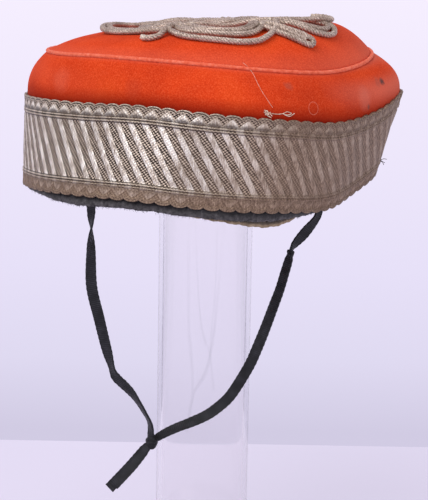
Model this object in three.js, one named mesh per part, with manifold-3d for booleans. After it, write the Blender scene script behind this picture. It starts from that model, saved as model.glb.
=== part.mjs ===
// A soft round pillbox cap of scarlet wool with a band of woven silver lace, a cord knot on its crown and a
// black chin ribbon, on a plain clear tube stand. Millimetres, +Z up, the stand's foot at the origin.
// The near side of the cap faces -Y and its higher, flared end faces +X.

import * as THREE from 'three';
import Module from 'manifold-3d';

const wasm = await Module();
wasm.setup();

// Driving sizes of the cap
const bandRadius = 92;
const laceHeight = 46;
const laceThickness = 1.2;
const scallopCount = 75;
const scallopDepth = 1.8;
const clothThickness = 2;
const seamRadius = 80;
const seamHeight = 22;
const crownHeight = 35.5;
const crownSlope = 0.066;
const shoulderShare = 0.34;
const sideFullness = 0.8;
const pipingRadius = 1;
const hemHeight = 5;
const bindingThickness = 2.2;
const bindingDrop = 4.2;
const sweatbandThickness = 1.2;
const sweatbandHeight = 30;
const sweatbandDrop = 7;

// Driving sizes of the cord knot on the crown, and how high its cord's middle lies over the crown
const knotReach = 62;
const knotCordRadius = 1.6;
const knotCordSides = 5;
const knotClear = 2.5;

// Driving sizes of the chin ribbon and the small knot that ties it
const ribbonWidth = 5.5;
const ribbonThickness = 1.4;
const ribbonInside = 12;
const ribbonStep = 5;
const tieDrop = 126;
const tieRadius = 3.1;
const tieHeight = 7.4;
const tiePlace = { x: -29.3, y: -56 };
const ribbonEnd = { x: -20, y: -3, z: -23 };

// Driving sizes of the stand
const tubeRadius = 25;
const tubeWall = 3;
const tubeTop = 290;
const baseRadius = 70;
const baseThickness = 6;
const baseEdge = 1.5;

// Gap between pieces that touch, and between the sweatband and the soft pieces on either side of it
const gap = 0.3;
const leatherGap = 0.6;

// Where the cap's middle sits beside the tube's axis
const capOffset = { x: 4, y: -8 };

// Segments round the cap, round the piping, round the chin ribbon's small knot and round the stand
const columns = 75;
const laceColumnsPerScallop = 4;
const pipingSides = 6;
const tieSides = 12;
const standSides = 36;

// The cap's plan and lean, a row for each sixteenth turn anticlockwise from +X.
// rim and band are shares of bandRadius, lift a share of laceHeight, seam and rise shares of seamRadius and
// seamHeight, binding and sweat shares of the drops below the lace's lower edge.
const capRows = [
  { rim: 0.915, band: 1.055, lift: 0.065, seam: 1.01, rise: 1.04, binding: -0.30, sweat: -0.30 },
  { rim: 0.99, band: 1.10, lift: 0.075, seam: 1.04, rise: 1.14, binding: -0.10, sweat: -0.20 },
  { rim: 1.02, band: 1.04, lift: 0.06, seam: 1.03, rise: 1.15, binding: 0.00, sweat: -0.20 },
  { rim: 1.05, band: 1.00, lift: 0.05, seam: 1.02, rise: 1.12, binding: 0.20, sweat: -0.20 },
  { rim: 1.05, band: 0.98, lift: 0.04, seam: 1.01, rise: 1.09, binding: 0.30, sweat: -0.20 },
  { rim: 1.06, band: 0.99, lift: 0.03, seam: 1.02, rise: 1.05, binding: 0.30, sweat: -0.20 },
  { rim: 1.07, band: 1.02, lift: 0.01, seam: 1.05, rise: 1.03, binding: 0.20, sweat: -0.20 },
  { rim: 1.07, band: 1.06, lift: 0.00, seam: 1.08, rise: 1.02, binding: 0.10, sweat: -0.20 },
  { rim: 1.08, band: 1.08, lift: -0.01, seam: 1.09, rise: 1.01, binding: 0.00, sweat: -0.20 },
  { rim: 1.08, band: 1.02, lift: 0.01, seam: 1.06, rise: 1.02, binding: 0.30, sweat: 0.00 },
  { rim: 1.06, band: 0.93, lift: 0.02, seam: 1.00, rise: 1.05, binding: 0.95, sweat: 0.20 },
  { rim: 1.03, band: 0.94, lift: 0.04, seam: 0.96, rise: 1.02, binding: 0.85, sweat: 0.20 },
  { rim: 0.99, band: 0.98, lift: -0.01, seam: 0.94, rise: 0.94, binding: 1.05, sweat: 0.75 },
  { rim: 0.91, band: 0.97, lift: -0.08, seam: 0.94, rise: 0.83, binding: 0.95, sweat: 1.10 },
  { rim: 0.83, band: 0.93, lift: -0.14, seam: 0.95, rise: 0.77, binding: 0.10, sweat: -0.30 },
  { rim: 0.81, band: 0.95, lift: -0.085, seam: 0.97, rise: 0.87, binding: -0.30, sweat: -0.30 },
];

// The cord knot's runs, laid on the crown. x and y are shares of knotReach from the cap's middle, and over is
// how far the cord rides up on others, in cord radii.
// The long cord: from a cut end at the near left over the middle, round the right loop, back along the far side,
// round the left loop, along the near side and over the right loop again
const sideLoops = [
  { x: -0.58, y: -0.86, over: 0.0 },
  { x: -0.52, y: -0.90, over: 0.0 },
  { x: -0.44, y: -0.88, over: 0.0 },
  { x: -0.38, y: -0.78, over: 1.0 },
  { x: -0.30, y: -0.62, over: 1.4 },
  { x: -0.14, y: -0.44, over: 0.4 },
  { x: 0.10, y: -0.32, over: 1.2 },
  { x: 0.36, y: -0.24, over: 0.4 },
  { x: 0.60, y: -0.20, over: 0.6 },
  { x: 0.80, y: -0.24, over: 0.0 },
  { x: 0.92, y: -0.35, over: 0.0 },
  { x: 0.93, y: -0.48, over: 0.0 },
  { x: 0.85, y: -0.59, over: 0.0 },
  { x: 0.71, y: -0.65, over: 0.0 },
  { x: 0.56, y: -0.64, over: 0.4 },
  { x: 0.42, y: -0.54, over: 0.2 },
  { x: 0.26, y: -0.38, over: 1.4 },
  { x: 0.10, y: -0.18, over: 0.2 },
  { x: -0.08, y: 0.02, over: 1.2 },
  { x: -0.30, y: 0.18, over: 0.2 },
  { x: -0.56, y: 0.26, over: 0.0 },
  { x: -0.78, y: 0.18, over: 0.0 },
  { x: -0.90, y: 0.00, over: 0.0 },
  { x: -0.93, y: -0.22, over: 0.0 },
  { x: -0.87, y: -0.42, over: 0.0 },
  { x: -0.74, y: -0.58, over: 0.0 },
  { x: -0.58, y: -0.67, over: 0.0 },
  { x: -0.38, y: -0.69, over: 0.0 },
  { x: -0.16, y: -0.65, over: 1.2 },
  { x: 0.08, y: -0.62, over: 0.2 },
  { x: 0.32, y: -0.64, over: 1.4 },
  { x: 0.54, y: -0.58, over: 1.2 },
  { x: 0.70, y: -0.48, over: 0.8 },
  { x: 0.82, y: -0.40, over: 1.4 },
  { x: 0.91, y: -0.31, over: 1.4 },
  { x: 0.88, y: -0.22, over: 1.0 },
  { x: 0.78, y: -0.20, over: 1.0 },
];

// The outer cord of the near bight, which runs on to the loop at the far left and back over the middle
const nearBight = [
  { x: -0.37, y: -0.80, over: 0.2 },
  { x: -0.28, y: -0.93, over: 0.0 },
  { x: -0.14, y: -1.00, over: 0.0 },
  { x: 0.04, y: -1.03, over: 0.0 },
  { x: 0.20, y: -1.025, over: 0.0 },
  { x: 0.34, y: -0.97, over: 0.0 },
  { x: 0.44, y: -0.84, over: 0.2 },
  { x: 0.47, y: -0.68, over: 1.2 },
  { x: 0.40, y: -0.46, over: 0.2 },
  { x: 0.26, y: -0.26, over: 1.4 },
  { x: 0.10, y: 0.00, over: 0.2 },
  { x: -0.08, y: 0.22, over: 1.2 },
  { x: -0.28, y: 0.42, over: 0.2 },
  { x: -0.48, y: 0.54, over: 0.0 },
  { x: -0.62, y: 0.52, over: 0.0 },
  { x: -0.66, y: 0.42, over: 0.0 },
  { x: -0.54, y: 0.36, over: 0.0 },
  { x: -0.34, y: 0.34, over: 1.0 },
  { x: -0.10, y: 0.34, over: 0.2 },
  { x: 0.14, y: 0.38, over: 0.0 },
  { x: 0.30, y: 0.32, over: 0.0 },
  { x: 0.32, y: 0.20, over: 0.0 },
  { x: 0.18, y: 0.10, over: 0.8 },
  { x: -0.06, y: 0.10, over: 0.2 },
  { x: -0.30, y: 0.06, over: 1.0 },
  { x: -0.52, y: -0.04, over: 0.2 },
  { x: -0.62, y: -0.20, over: 0.0 },
  { x: -0.54, y: -0.36, over: 0.0 },
  { x: -0.34, y: -0.42, over: 0.8 },
  { x: -0.10, y: -0.44, over: 0.2 },
  { x: 0.12, y: -0.46, over: 1.0 },
  { x: 0.30, y: -0.46, over: 0.3 },
];

// The inner cord of the near bight, which runs on round the far bight
const farBight = [
  { x: -0.33, y: -0.69, over: 1.0 },
  { x: -0.27, y: -0.81, over: 0.0 },
  { x: -0.18, y: -0.89, over: 0.0 },
  { x: -0.06, y: -0.94, over: 0.0 },
  { x: 0.08, y: -0.96, over: 0.0 },
  { x: 0.21, y: -0.945, over: 0.0 },
  { x: 0.31, y: -0.87, over: 0.0 },
  { x: 0.36, y: -0.76, over: 0.8 },
  { x: 0.30, y: -0.58, over: 0.2 },
  { x: 0.14, y: -0.40, over: 0.8 },
  { x: -0.06, y: -0.20, over: 1.2 },
  { x: -0.24, y: 0.00, over: 0.4 },
  { x: -0.34, y: 0.22, over: 1.0 },
  { x: -0.30, y: 0.46, over: 0.4 },
  { x: -0.16, y: 0.58, over: 0.0 },
  { x: 0.02, y: 0.58, over: 0.0 },
  { x: 0.12, y: 0.46, over: 0.4 },
  { x: 0.10, y: 0.28, over: 1.0 },
  { x: 0.16, y: 0.06, over: 0.4 },
  { x: 0.36, y: -0.08, over: 0.8 },
  { x: 0.56, y: -0.10, over: 0.2 },
  { x: 0.72, y: -0.18, over: 0.4 },
];

// A third cord inside the near bight
const innerBight = [
  { x: -0.20, y: -0.65, over: 1.0 },
  { x: -0.14, y: -0.76, over: 0.4 },
  { x: -0.02, y: -0.85, over: 0.2 },
  { x: 0.12, y: -0.865, over: 0.2 },
  { x: 0.24, y: -0.80, over: 0.2 },
  { x: 0.30, y: -0.66, over: 1.0 },
];

// The leaf at the near right, a cord doubled back beside itself
const leaf = [
  { x: 0.34, y: -0.80, over: 0.6 },
  { x: 0.46, y: -0.84, over: 0.0 },
  { x: 0.58, y: -0.855, over: 0.0 },
  { x: 0.68, y: -0.85, over: 0.0 },
  { x: 0.76, y: -0.81, over: 0.0 },
  { x: 0.77, y: -0.75, over: 0.2 },
  { x: 0.69, y: -0.755, over: 0.6 },
  { x: 0.58, y: -0.77, over: 0.8 },
  { x: 0.46, y: -0.75, over: 1.0 },
  { x: 0.38, y: -0.66, over: 0.6 },
];

// The chin ribbon from where it leaves the cap to its knot. down is the share of the way, beside how far it
// strays to the right of a straight line in ribbon widths, and face how far its flat side is turned, in degrees.
const leftHang = [
  { down: 0.00, beside: 0.00, face: -41 },
  { down: 0.05, beside: -0.25, face: -45 },
  { down: 0.12, beside: -0.67, face: -95 },
  { down: 0.20, beside: -1.10, face: -160 },
  { down: 0.36, beside: -1.93, face: -182 },
  { down: 0.50, beside: -2.00, face: -190 },
  { down: 0.63, beside: -2.04, face: -205 },
  { down: 0.71, beside: -2.02, face: -235 },
  { down: 0.75, beside: -1.85, face: -205 },
  { down: 0.78, beside: -1.40, face: -200 },
  { down: 0.81, beside: -0.93, face: -210 },
  { down: 0.85, beside: -0.50, face: -220 },
  { down: 0.90, beside: -0.12, face: -230 },
  { down: 0.95, beside: 0.18, face: -235 },
  { down: 1.00, beside: 0.00, face: -235 },
];

const rightHang = [
  { down: 0.00, beside: 0.00, face: 50 },
  { down: 0.05, beside: 0.62, face: 50 },
  { down: 0.12, beside: 0.50, face: 20 },
  { down: 0.17, beside: 0.31, face: 45 },
  { down: 0.20, beside: 0.37, face: 92 },
  { down: 0.23, beside: 0.70, face: 125 },
  { down: 0.29, beside: 1.20, face: 145 },
  { down: 0.36, beside: 1.78, face: 150 },
  { down: 0.43, beside: 2.25, face: 155 },
  { down: 0.53, beside: 2.91, face: 160 },
  { down: 0.61, beside: 3.38, face: 165 },
  { down: 0.68, beside: 3.75, face: 170 },
  { down: 0.76, beside: 3.93, face: 175 },
  { down: 0.82, beside: 3.93, face: 170 },
  { down: 0.86, beside: 3.62, face: 165 },
  { down: 0.90, beside: 3.05, face: 160 },
  { down: 0.93, beside: 2.15, face: 160 },
  { down: 0.96, beside: 1.00, face: 150 },
  { down: 1.00, beside: 0.00, face: 135 },
];

// The two ends of the ribbon below its knot, one behind the other
const endHang = [
  { down: 0.00, beside: 0.00, face: -25 },
  { down: 0.50, beside: 0.10, face: -20 },
  { down: 1.00, beside: 0.00, face: -15 },
];

const turn = 2 * Math.PI;

// A smooth value between the rows of a table that runs once round the cap
function around(rows, name, angle) {
  const place = (((angle / turn) % 1) + 1) % 1 * rows.length;
  const row = Math.floor(place);
  const t = place - row;
  const [a, b, c, d] = [-1, 0, 1, 2].map((step) => rows[(row + step + rows.length) % rows.length][name]);
  return b + 0.5 * t * (c - a + t * (2 * a - 5 * b + 4 * c - d + t * (3 * (b - c) + d - a)));
}

// Points of the cap's outer face in the upright plane at an angle: x is the reach from the middle, y the height
function bandEdge(angle) {
  return new THREE.Vector2(bandRadius * around(capRows, 'band', angle), laceHeight * around(capRows, 'lift', angle));
}

function rimEdge(angle) {
  const top = bandEdge(angle);
  const reach = bandRadius * around(capRows, 'rim', angle);
  return new THREE.Vector2(reach, top.y - Math.sqrt(laceHeight ** 2 - (top.x - reach) ** 2));
}

function seamPoint(angle) {
  return new THREE.Vector2(seamRadius * around(capRows, 'seam', angle), seamHeight * around(capRows, 'rise', angle));
}

// Height of the crown's top panel at a reach share of the seam, level over the middle with rounded shoulders
function crownPoint(angle, share) {
  const seam = seamPoint(angle);
  const climb = 1 - Math.max(0, 1 - (1 - share) / shoulderShare) ** 2;
  const level = crownHeight + crownSlope * seam.x * share * Math.cos(angle);
  return new THREE.Vector2(seam.x * share, seam.y + (level - seam.y) * climb);
}

function inSpace(point, angle) {
  return new THREE.Vector3(point.x * Math.cos(angle), point.x * Math.sin(angle), point.y);
}

// A profile moved towards its left-hand side by a distance, which is inwards for a profile that climbs
function moved(profile, distance) {
  return profile.map((point, i) => {
    const before = profile[Math.max(i - 1, 0)];
    const after = profile[Math.min(i + 1, profile.length - 1)];
    const along = after.clone().sub(before).normalize();
    return new THREE.Vector2(point.x - along.y * distance, point.y + along.x * distance);
  });
}

// Angles of columns that are evenly spaced along the lace, measured at its half height
function evenAngles(count) {
  const fine = count * 8;
  const lengths = [0];
  const middle = (i) => inSpace(bandEdge((turn * i) / fine).lerp(rimEdge((turn * i) / fine), 0.5), (turn * i) / fine);
  for (let i = 0; i < fine; i++) lengths.push(lengths[i] + middle(i).distanceTo(middle(i + 1)));
  return Array.from({ length: count }, (_, k) => {
    const goal = (lengths[fine] * k) / count;
    const i = Math.max(lengths.findIndex((length) => length > goal) - 1, 0);
    return (turn * (i + (goal - lengths[i]) / (lengths[i + 1] - lengths[i]))) / fine;
  });
}

const capAngles = evenAngles(columns);

// A closed geometry from points and triangles
function fromTriangles(points, triangles) {
  const geometry = new THREE.BufferGeometry();
  geometry.setAttribute('position', new THREE.Float32BufferAttribute(points.flatMap((p) => p.toArray()), 3));
  geometry.setIndex(triangles);
  geometry.computeVertexNormals();
  return geometry;
}

// A ring whose sections are closed loops, outer face first going up, then the inner face going down
function ringSolid(sections) {
  const size = sections[0].length;
  const triangles = [];
  sections.forEach((_, i) => {
    const here = i * size;
    const next = ((i + 1) % sections.length) * size;
    for (let j = 0; j < size; j++) {
      const k = (j + 1) % size;
      triangles.push(here + j, next + j, next + k, here + j, next + k, here + k);
    }
  });
  return fromTriangles(sections.flat(), triangles);
}

// A ring wall from an outer profile at each column, with a thickness
function wallRing(profileAt, thickness, angles = capAngles) {
  return ringSolid(angles.map((angle, i) => {
    const outer = profileAt(angle, i);
    const inner = moved(outer, thickness).reverse();
    return [...outer, ...inner].map((point) => inSpace(point, angle));
  }));
}

// Reach and height on the lace's outer face at a share of its height, moved inwards by a depth
function lacePoint(angle, share, depth) {
  const low = rimEdge(angle);
  const high = bandEdge(angle);
  return moved([low, high], depth).reduce((from, to) => from.clone().lerp(to, share));
}

// Wool side: up behind the lace, then a soft curve over to the seam
const behindLace = laceThickness + gap;
const seamGap = pipingRadius + gap;

function sideProfile(angle) {
  const foot = lacePoint(angle, hemHeight / laceHeight, behindLace);
  const waist = lacePoint(angle, 0.55, behindLace);
  const start = lacePoint(angle, 1, behindLace);
  const seam = seamPoint(angle);
  const end = new THREE.Vector2(seam.x + 0.5 * seamGap, seam.y - 0.87 * seamGap);
  const full = new THREE.Vector2(start.x + sideFullness, start.y + 0.6 * (end.y - start.y));
  const curve = new THREE.QuadraticBezierCurve(start, full, end);
  return [foot, waist, ...curve.getPoints(3)];
}

function crownSide() {
  return wallRing(sideProfile, clothThickness);
}

// Wool top panel, domed over rounded shoulders
function crownTop() {
  const shares = [1, 0.93, 0.85, 0.76, 0.62, 0.33];
  const middle = (height) => new THREE.Vector3(0, 0, height);
  const profiles = capAngles.map((angle) => {
    const outer = shares.map((share) => crownPoint(angle, share));
    outer[0] = new THREE.Vector2(outer[0].x - 0.7 * seamGap, outer[0].y + 0.7 * seamGap);
    return { angle, outer, inner: moved(outer, clothThickness) };
  });
  const points = [];
  profiles.forEach(({ angle, outer, inner }) => {
    points.push(...outer.map((p) => inSpace(p, angle)), ...inner.map((p) => inSpace(p, angle)));
  });
  const rows = shares.length;
  const size = 2 * rows;
  const peak = points.push(middle(crownHeight)) - 1;
  const ceiling = points.push(middle(crownHeight - clothThickness)) - 1;
  const triangles = [];
  profiles.forEach((_, i) => {
    const here = i * size;
    const next = ((i + 1) % profiles.length) * size;
    for (let j = 0; j < rows - 1; j++) {
      triangles.push(here + j, next + j, next + j + 1, here + j, next + j + 1, here + j + 1);
      const [a, b] = [here + rows + j, next + rows + j];
      triangles.push(a, b + 1, b, a, a + 1, b + 1);
    }
    triangles.push(here + rows - 1, next + rows - 1, peak);
    triangles.push(here + size - 1, ceiling, next + size - 1);
    triangles.push(here + rows, next + rows, next, here + rows, next, here);
  });
  return fromTriangles(points, triangles);
}

// Corded piping in the seam between the two panels
function crownPiping() {
  return ringSolid(capAngles.map((angle) => {
    const seam = seamPoint(angle);
    return Array.from({ length: pipingSides }, (_, k) => {
      const around360 = (turn * k) / pipingSides;
      const point = new THREE.Vector2(Math.cos(around360), Math.sin(around360)).multiplyScalar(pipingRadius);
      return inSpace(point.add(seam), angle);
    });
  }));
}

// Woven lace with scalloped edges
function laceBand() {
  const angles = evenAngles(scallopCount * laceColumnsPerScallop);
  return wallRing((angle, i) => {
    const scallop = Math.abs(Math.sin((Math.PI * i) / laceColumnsPerScallop));
    const cut = (scallopDepth * (1 - scallop)) / laceHeight;
    return [lacePoint(angle, cut, 0), lacePoint(angle, 1 - cut, 0)];
  }, laceThickness, angles);
}

// A profile behind the lace from a height above its lower edge to a drop below it
function belowLace(angle, top, drop, depth) {
  return [-drop / laceHeight, top / laceHeight].map((share) => lacePoint(angle, share, depth));
}

// Black leather binding of the hem, hanging below the lace on the near side
function rimBinding() {
  const top = hemHeight - gap;
  return wallRing((angle) => (
    belowLace(angle, top, bindingDrop * around(capRows, 'binding', angle), behindLace)
  ), bindingThickness);
}

// Leather sweatband inside the wool side
const sweatbandDepth = behindLace + bindingThickness + leatherGap;

function sweatband() {
  return wallRing((angle) => (
    belowLace(angle, sweatbandHeight, sweatbandDrop * around(capRows, 'sweat', angle), sweatbandDepth)
  ), sweatbandThickness);
}

// A closed bar through sections that go once round anticlockwise, seen from its far end
function bar(sections) {
  const size = sections[0].length;
  const last = (sections.length - 1) * size;
  const triangles = [];
  for (let i = 0; i < last; i += size) {
    for (let j = 0; j < size; j++) {
      const k = (j + 1) % size;
      triangles.push(i + j, i + k, i + size + k, i + j, i + size + k, i + size + j);
    }
  }
  for (let k = 1; k < size - 1; k++) triangles.push(0, k + 1, k, last, last + k, last + k + 1);
  return fromTriangles(sections.flat(), triangles);
}

// A section of a bar from its outline, with x along the side direction
function section(outline, centre, along, side) {
  const across = side.clone().addScaledVector(along, -side.dot(along)).normalize();
  const up = along.clone().cross(across);
  return outline.map((p) => centre.clone().addScaledVector(across, p.x).addScaledVector(up, p.y));
}

// Cord laid on the crown along a run of the knot, with a section at each row and round ends
const cordOutline = Array.from({ length: knotCordSides }, (_, k) => (
  new THREE.Vector2(Math.cos((turn * k) / knotCordSides), Math.sin((turn * k) / knotCordSides))
));

function cordRun(rows) {
  const centres = rows.map((row) => {
    const [x, y] = [row.x * knotReach, row.y * knotReach];
    const angle = Math.atan2(y, x);
    const crown = crownPoint(angle, Math.hypot(x, y) / seamPoint(angle).x).y;
    return new THREE.Vector3(x, y, crown + knotClear + row.over * knotCordRadius);
  });
  const outline = cordOutline.map((p) => p.clone().multiplyScalar(knotCordRadius));
  return bar(centres.map((centre, i) => {
    const along = centres[Math.min(i + 1, centres.length - 1)].clone().sub(centres[Math.max(i - 1, 0)]).normalize();
    const side = new THREE.Vector3(-along.y, along.x, 0);
    return section(outline, centre, along, side);
  }));
}

// All runs of the knot joined into one solid
function toManifold(geometry) {
  const { position } = geometry.attributes;
  return new wasm.Manifold(new wasm.Mesh({
    numProp: 3,
    vertProperties: Float32Array.from(position.array),
    triVerts: Uint32Array.from(geometry.index.array),
  }));
}

function crownKnot() {
  const runs = [sideLoops, nearBight, farBight, innerBight, leaf].map((rows) => toManifold(cordRun(rows)));
  const { vertProperties, triVerts } = runs.reduce((knot, run) => knot.add(run)).getMesh();
  const geometry = new THREE.BufferGeometry();
  geometry.setAttribute('position', new THREE.Float32BufferAttribute(vertProperties, 3));
  geometry.setIndex(Array.from(triVerts));
  geometry.computeVertexNormals();
  return geometry;
}

// A flat ribbon along a path, its flat side turned by an angle that face gives at each place
const [halfWidth, halfThickness] = [ribbonWidth / 2, ribbonThickness / 2];
const ribbonOutline = [
  [halfWidth, 0], [halfWidth - halfThickness, halfThickness], [halfThickness - halfWidth, halfThickness],
  [-halfWidth, 0], [halfThickness - halfWidth, -halfThickness], [halfWidth - halfThickness, -halfThickness],
].map(([x, y]) => new THREE.Vector2(x, y));

function ribbon(points, faces) {
  const curve = new THREE.CatmullRomCurve3(points);
  const count = Math.ceil(curve.getLength() / ribbonStep);
  return bar(Array.from({ length: count + 1 }, (_, i) => {
    const place = curve.getUtoTmapping(i / count) * (points.length - 1);
    const row = Math.min(Math.floor(place), points.length - 2);
    const face = THREE.MathUtils.degToRad(faces[row] + (faces[row + 1] - faces[row]) * (place - row));
    const side = new THREE.Vector3(Math.cos(face), Math.sin(face), 0);
    return section(ribbonOutline, curve.getPointAt(i / count), curve.getTangentAt(i / count), side);
  }));
}

// Points of a ribbon that hangs from one place to another, by the rows of its table
function hangPoints(from, to, rows) {
  return rows.map(({ down, beside }) => {
    const point = from.clone().lerp(to, down);
    point.x += beside * ribbonWidth;
    return point;
  });
}

// The ribbon lies against the sweatband's inner face, then hangs to its knot
const ribbonDepth = sweatbandDepth + sweatbandThickness + leatherGap + halfThickness;

function insideCap(angle, height) {
  return inSpace(lacePoint(angle, height / laceHeight, ribbonDepth), angle);
}

const [leftPlace, rightPlace] = [229, 320].map((angle) => THREE.MathUtils.degToRad(angle));
const tie = new THREE.Vector3(tiePlace.x, tiePlace.y, insideCap(leftPlace, 0).z - tieDrop);

function hungRibbon(place, end, rows) {
  const from = insideCap(place, 0);
  const points = [insideCap(place, ribbonInside), insideCap(place, ribbonInside / 2), ...hangPoints(from, end, rows)];
  return ribbon(points, [rows[0].face, rows[0].face, ...rows.map(({ face }) => face)]);
}

function ribbonLeft() {
  return hungRibbon(leftPlace, new THREE.Vector3(tie.x - 0.5, tie.y, tie.z + tieHeight / 2 + gap), leftHang);
}

function ribbonRight() {
  return hungRibbon(rightPlace, new THREE.Vector3(tie.x + tieRadius + gap, tie.y, tie.z + 0.36 * tieHeight), rightHang);
}

// Small knot that ties the ribbon, two turns high, with its corner shares of tieRadius and tieHeight
const tieCorner = [0.7, 0.42];

function chinKnot() {
  const [out, up] = tieCorner;
  const profile = [[0, -0.5], [out, -up], [1, -0.2], [0.85, 0], [1, 0.2], [out, up], [0, 0.5]];
  const points = profile.map(([reach, height]) => new THREE.Vector2(reach * tieRadius, height * tieHeight));
  return new THREE.LatheGeometry(points, tieSides).rotateX(Math.PI / 2).translate(tie.x, tie.y, tie.z);
}

// One end of the ribbon below its knot, at a distance in front of the other's middle
function ribbonTail(front) {
  const along = new THREE.Vector2(ribbonEnd.x, ribbonEnd.z).normalize();
  const clear = tieCorner[0] * tieRadius * Math.abs(along.x) + tieCorner[1] * tieHeight * Math.abs(along.y) + gap;
  const from = new THREE.Vector3(tie.x + clear * along.x, tie.y - front, tie.z + clear * along.y);
  const to = new THREE.Vector3(tie.x + ribbonEnd.x + front, tie.y + ribbonEnd.y - front, tie.z + ribbonEnd.z + front);
  return ribbon(hangPoints(from, to, endHang), endHang.map(({ face }) => face));
}

// A lathe-turned ring or disc of the stand
function turned(profile) {
  return new THREE.LatheGeometry(profile.map(([x, y]) => new THREE.Vector2(x, y)), standSides).rotateX(Math.PI / 2);
}

function standTube() {
  const foot = baseThickness + gap;
  const inner = tubeRadius - tubeWall;
  return turned([[tubeRadius, foot], [tubeRadius, tubeTop], [inner, tubeTop], [inner, foot], [tubeRadius, foot]]);
}

function standBase() {
  const rim = baseRadius - baseEdge;
  return turned([[0, 0], [rim, 0], [baseRadius, baseEdge], [baseRadius, baseThickness - baseEdge],
    [rim, baseThickness], [0, baseThickness]]);
}

function piece(name, geometry, colour, roughness, metalness = 0) {
  const mesh = new THREE.Mesh(geometry, new THREE.MeshStandardMaterial({ color: colour, roughness, metalness }));
  mesh.name = name;
  return mesh;
}

const scarlet = 0xc8371b;
const silver = 0x8f8276;
const black = 0x2b2a2c;
const tailDepth = halfThickness + gap / 2 + 0.35;

const cap = new THREE.Group();
cap.add(
  piece('crown_side', crownSide(), scarlet, 0.9),
  piece('crown_top', crownTop(), scarlet, 0.9),
  piece('crown_piping', crownPiping(), 0xd0513a, 0.85),
  piece('lace_band', laceBand(), silver, 0.55, 0.4),
  piece('rim_binding', rimBinding(), black, 0.6),
  piece('sweatband', sweatband(), 0x7d6240, 0.7),
  piece('crown_knot', crownKnot(), silver, 0.6, 0.3),
  piece('ribbon_left', ribbonLeft(), black, 0.8),
  piece('ribbon_right', ribbonRight(), black, 0.8),
  piece('chin_knot', chinKnot(), black, 0.8),
  piece('ribbon_end_front', ribbonTail(tailDepth), black, 0.8),
  piece('ribbon_end_back', ribbonTail(-tailDepth), black, 0.8),
);

// The crown's underside rests on the tube's top edge, touching first where the crown is lowest
const ceilingHeight = crownHeight - clothThickness - crownSlope * (tubeRadius + capOffset.x);
cap.position.set(capOffset.x, capOffset.y, tubeTop + gap - ceilingHeight);

const clear = 0xe6e4ee;
const group = new THREE.Group();
group.add(cap, piece('stand_tube', standTube(), clear, 0.1), piece('stand_base', standBase(), clear, 0.1));

export default group;
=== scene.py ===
import bpy
import numpy as np
from mathutils import Matrix, Vector


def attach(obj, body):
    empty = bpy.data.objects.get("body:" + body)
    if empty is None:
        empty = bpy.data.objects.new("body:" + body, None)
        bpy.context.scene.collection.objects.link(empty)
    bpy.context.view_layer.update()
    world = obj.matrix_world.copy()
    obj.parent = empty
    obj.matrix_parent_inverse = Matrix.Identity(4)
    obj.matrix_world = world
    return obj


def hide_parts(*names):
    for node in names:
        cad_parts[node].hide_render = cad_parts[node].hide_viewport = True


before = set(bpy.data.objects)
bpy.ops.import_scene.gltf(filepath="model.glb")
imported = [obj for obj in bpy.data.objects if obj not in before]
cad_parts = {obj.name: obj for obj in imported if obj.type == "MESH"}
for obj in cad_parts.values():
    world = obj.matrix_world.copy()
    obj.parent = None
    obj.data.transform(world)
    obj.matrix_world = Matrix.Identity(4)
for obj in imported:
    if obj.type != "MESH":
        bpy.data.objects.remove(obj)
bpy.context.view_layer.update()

# Camera: a little above the cap's band, looking slightly down and leaning one degree,
# so that the cap's near side faces it and the stand's foot falls just below the picture.
camera_place = Vector((0.0046, -0.8429, 0.3330))
camera_down = np.radians(10.603)
camera_lean = np.radians(1.0)
camera_lens, picture_width = 115.2, 36
ahead = Vector((0, np.cos(camera_down), -np.sin(camera_down)))
level = Vector((1, 0, 0))
upward = Vector((0, np.sin(camera_down), np.cos(camera_down)))
camera_right = np.cos(camera_lean) * level + np.sin(camera_lean) * upward
camera_up = np.cos(camera_lean) * upward - np.sin(camera_lean) * level
camera = bpy.data.objects.new("camera", bpy.data.cameras.new("camera"))
turned = Matrix((camera_right, camera_up, -ahead)).transposed()
camera.matrix_world = Matrix.Translation(camera_place) @ turned.to_4x4()
camera.data.lens = camera_lens
camera.data.sensor_width = picture_width
bpy.context.collection.objects.link(camera)
bpy.context.scene.camera = camera
bpy.context.scene.view_settings.view_transform = "Standard"


# Chin ribbon: narrow black woven ribbon, sewn to the sweatband on either side, half twisted as it
# hangs and tied in a small knot, with two cut ends. Each row is a point of its middle line and the
# turn of its flat side in degrees.
def add_node(tree, kind, inputs=None, **settings):
    node = tree.nodes.new(kind)
    for name, value in settings.items():
        setattr(node, name, value)
    for name, value in (inputs or {}).items():
        if isinstance(value, bpy.types.NodeSocket):
            tree.links.new(value, node.inputs[name])
        else:
            node.inputs[name].default_value = value
    return node


def new_material(name, colour, roughness, **sockets):
    material = bpy.data.materials.new(name)
    material.use_nodes = True
    shader = material.node_tree.nodes["Principled BSDF"]
    shader.inputs["Base Color"].default_value = (*colour, 1)
    shader.inputs["Roughness"].default_value = roughness
    for socket, value in sockets.items():
        shader.inputs[socket.replace("_", " ")].default_value = value
    return material, material.node_tree, shader


def ramp(tree, factor, stops, interpolation="LINEAR"):
    node = add_node(tree, "ShaderNodeValToRGB", {"Fac": factor})
    node.color_ramp.interpolation = interpolation
    for _ in range(len(stops) - 2):
        node.color_ramp.elements.new(0.5)
    for element, (place, colour) in zip(node.color_ramp.elements, stops):
        element.position = place
        element.color = (*colour, 1) if len(colour) == 3 else colour
    return node.outputs["Color"]


def math(tree, operation, a, b=0.0, c=0.0, clamp=False):
    node = add_node(tree, "ShaderNodeMath", {0: a, 1: b, 2: c}, operation=operation, use_clamp=clamp)
    return node.outputs[0]


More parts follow.
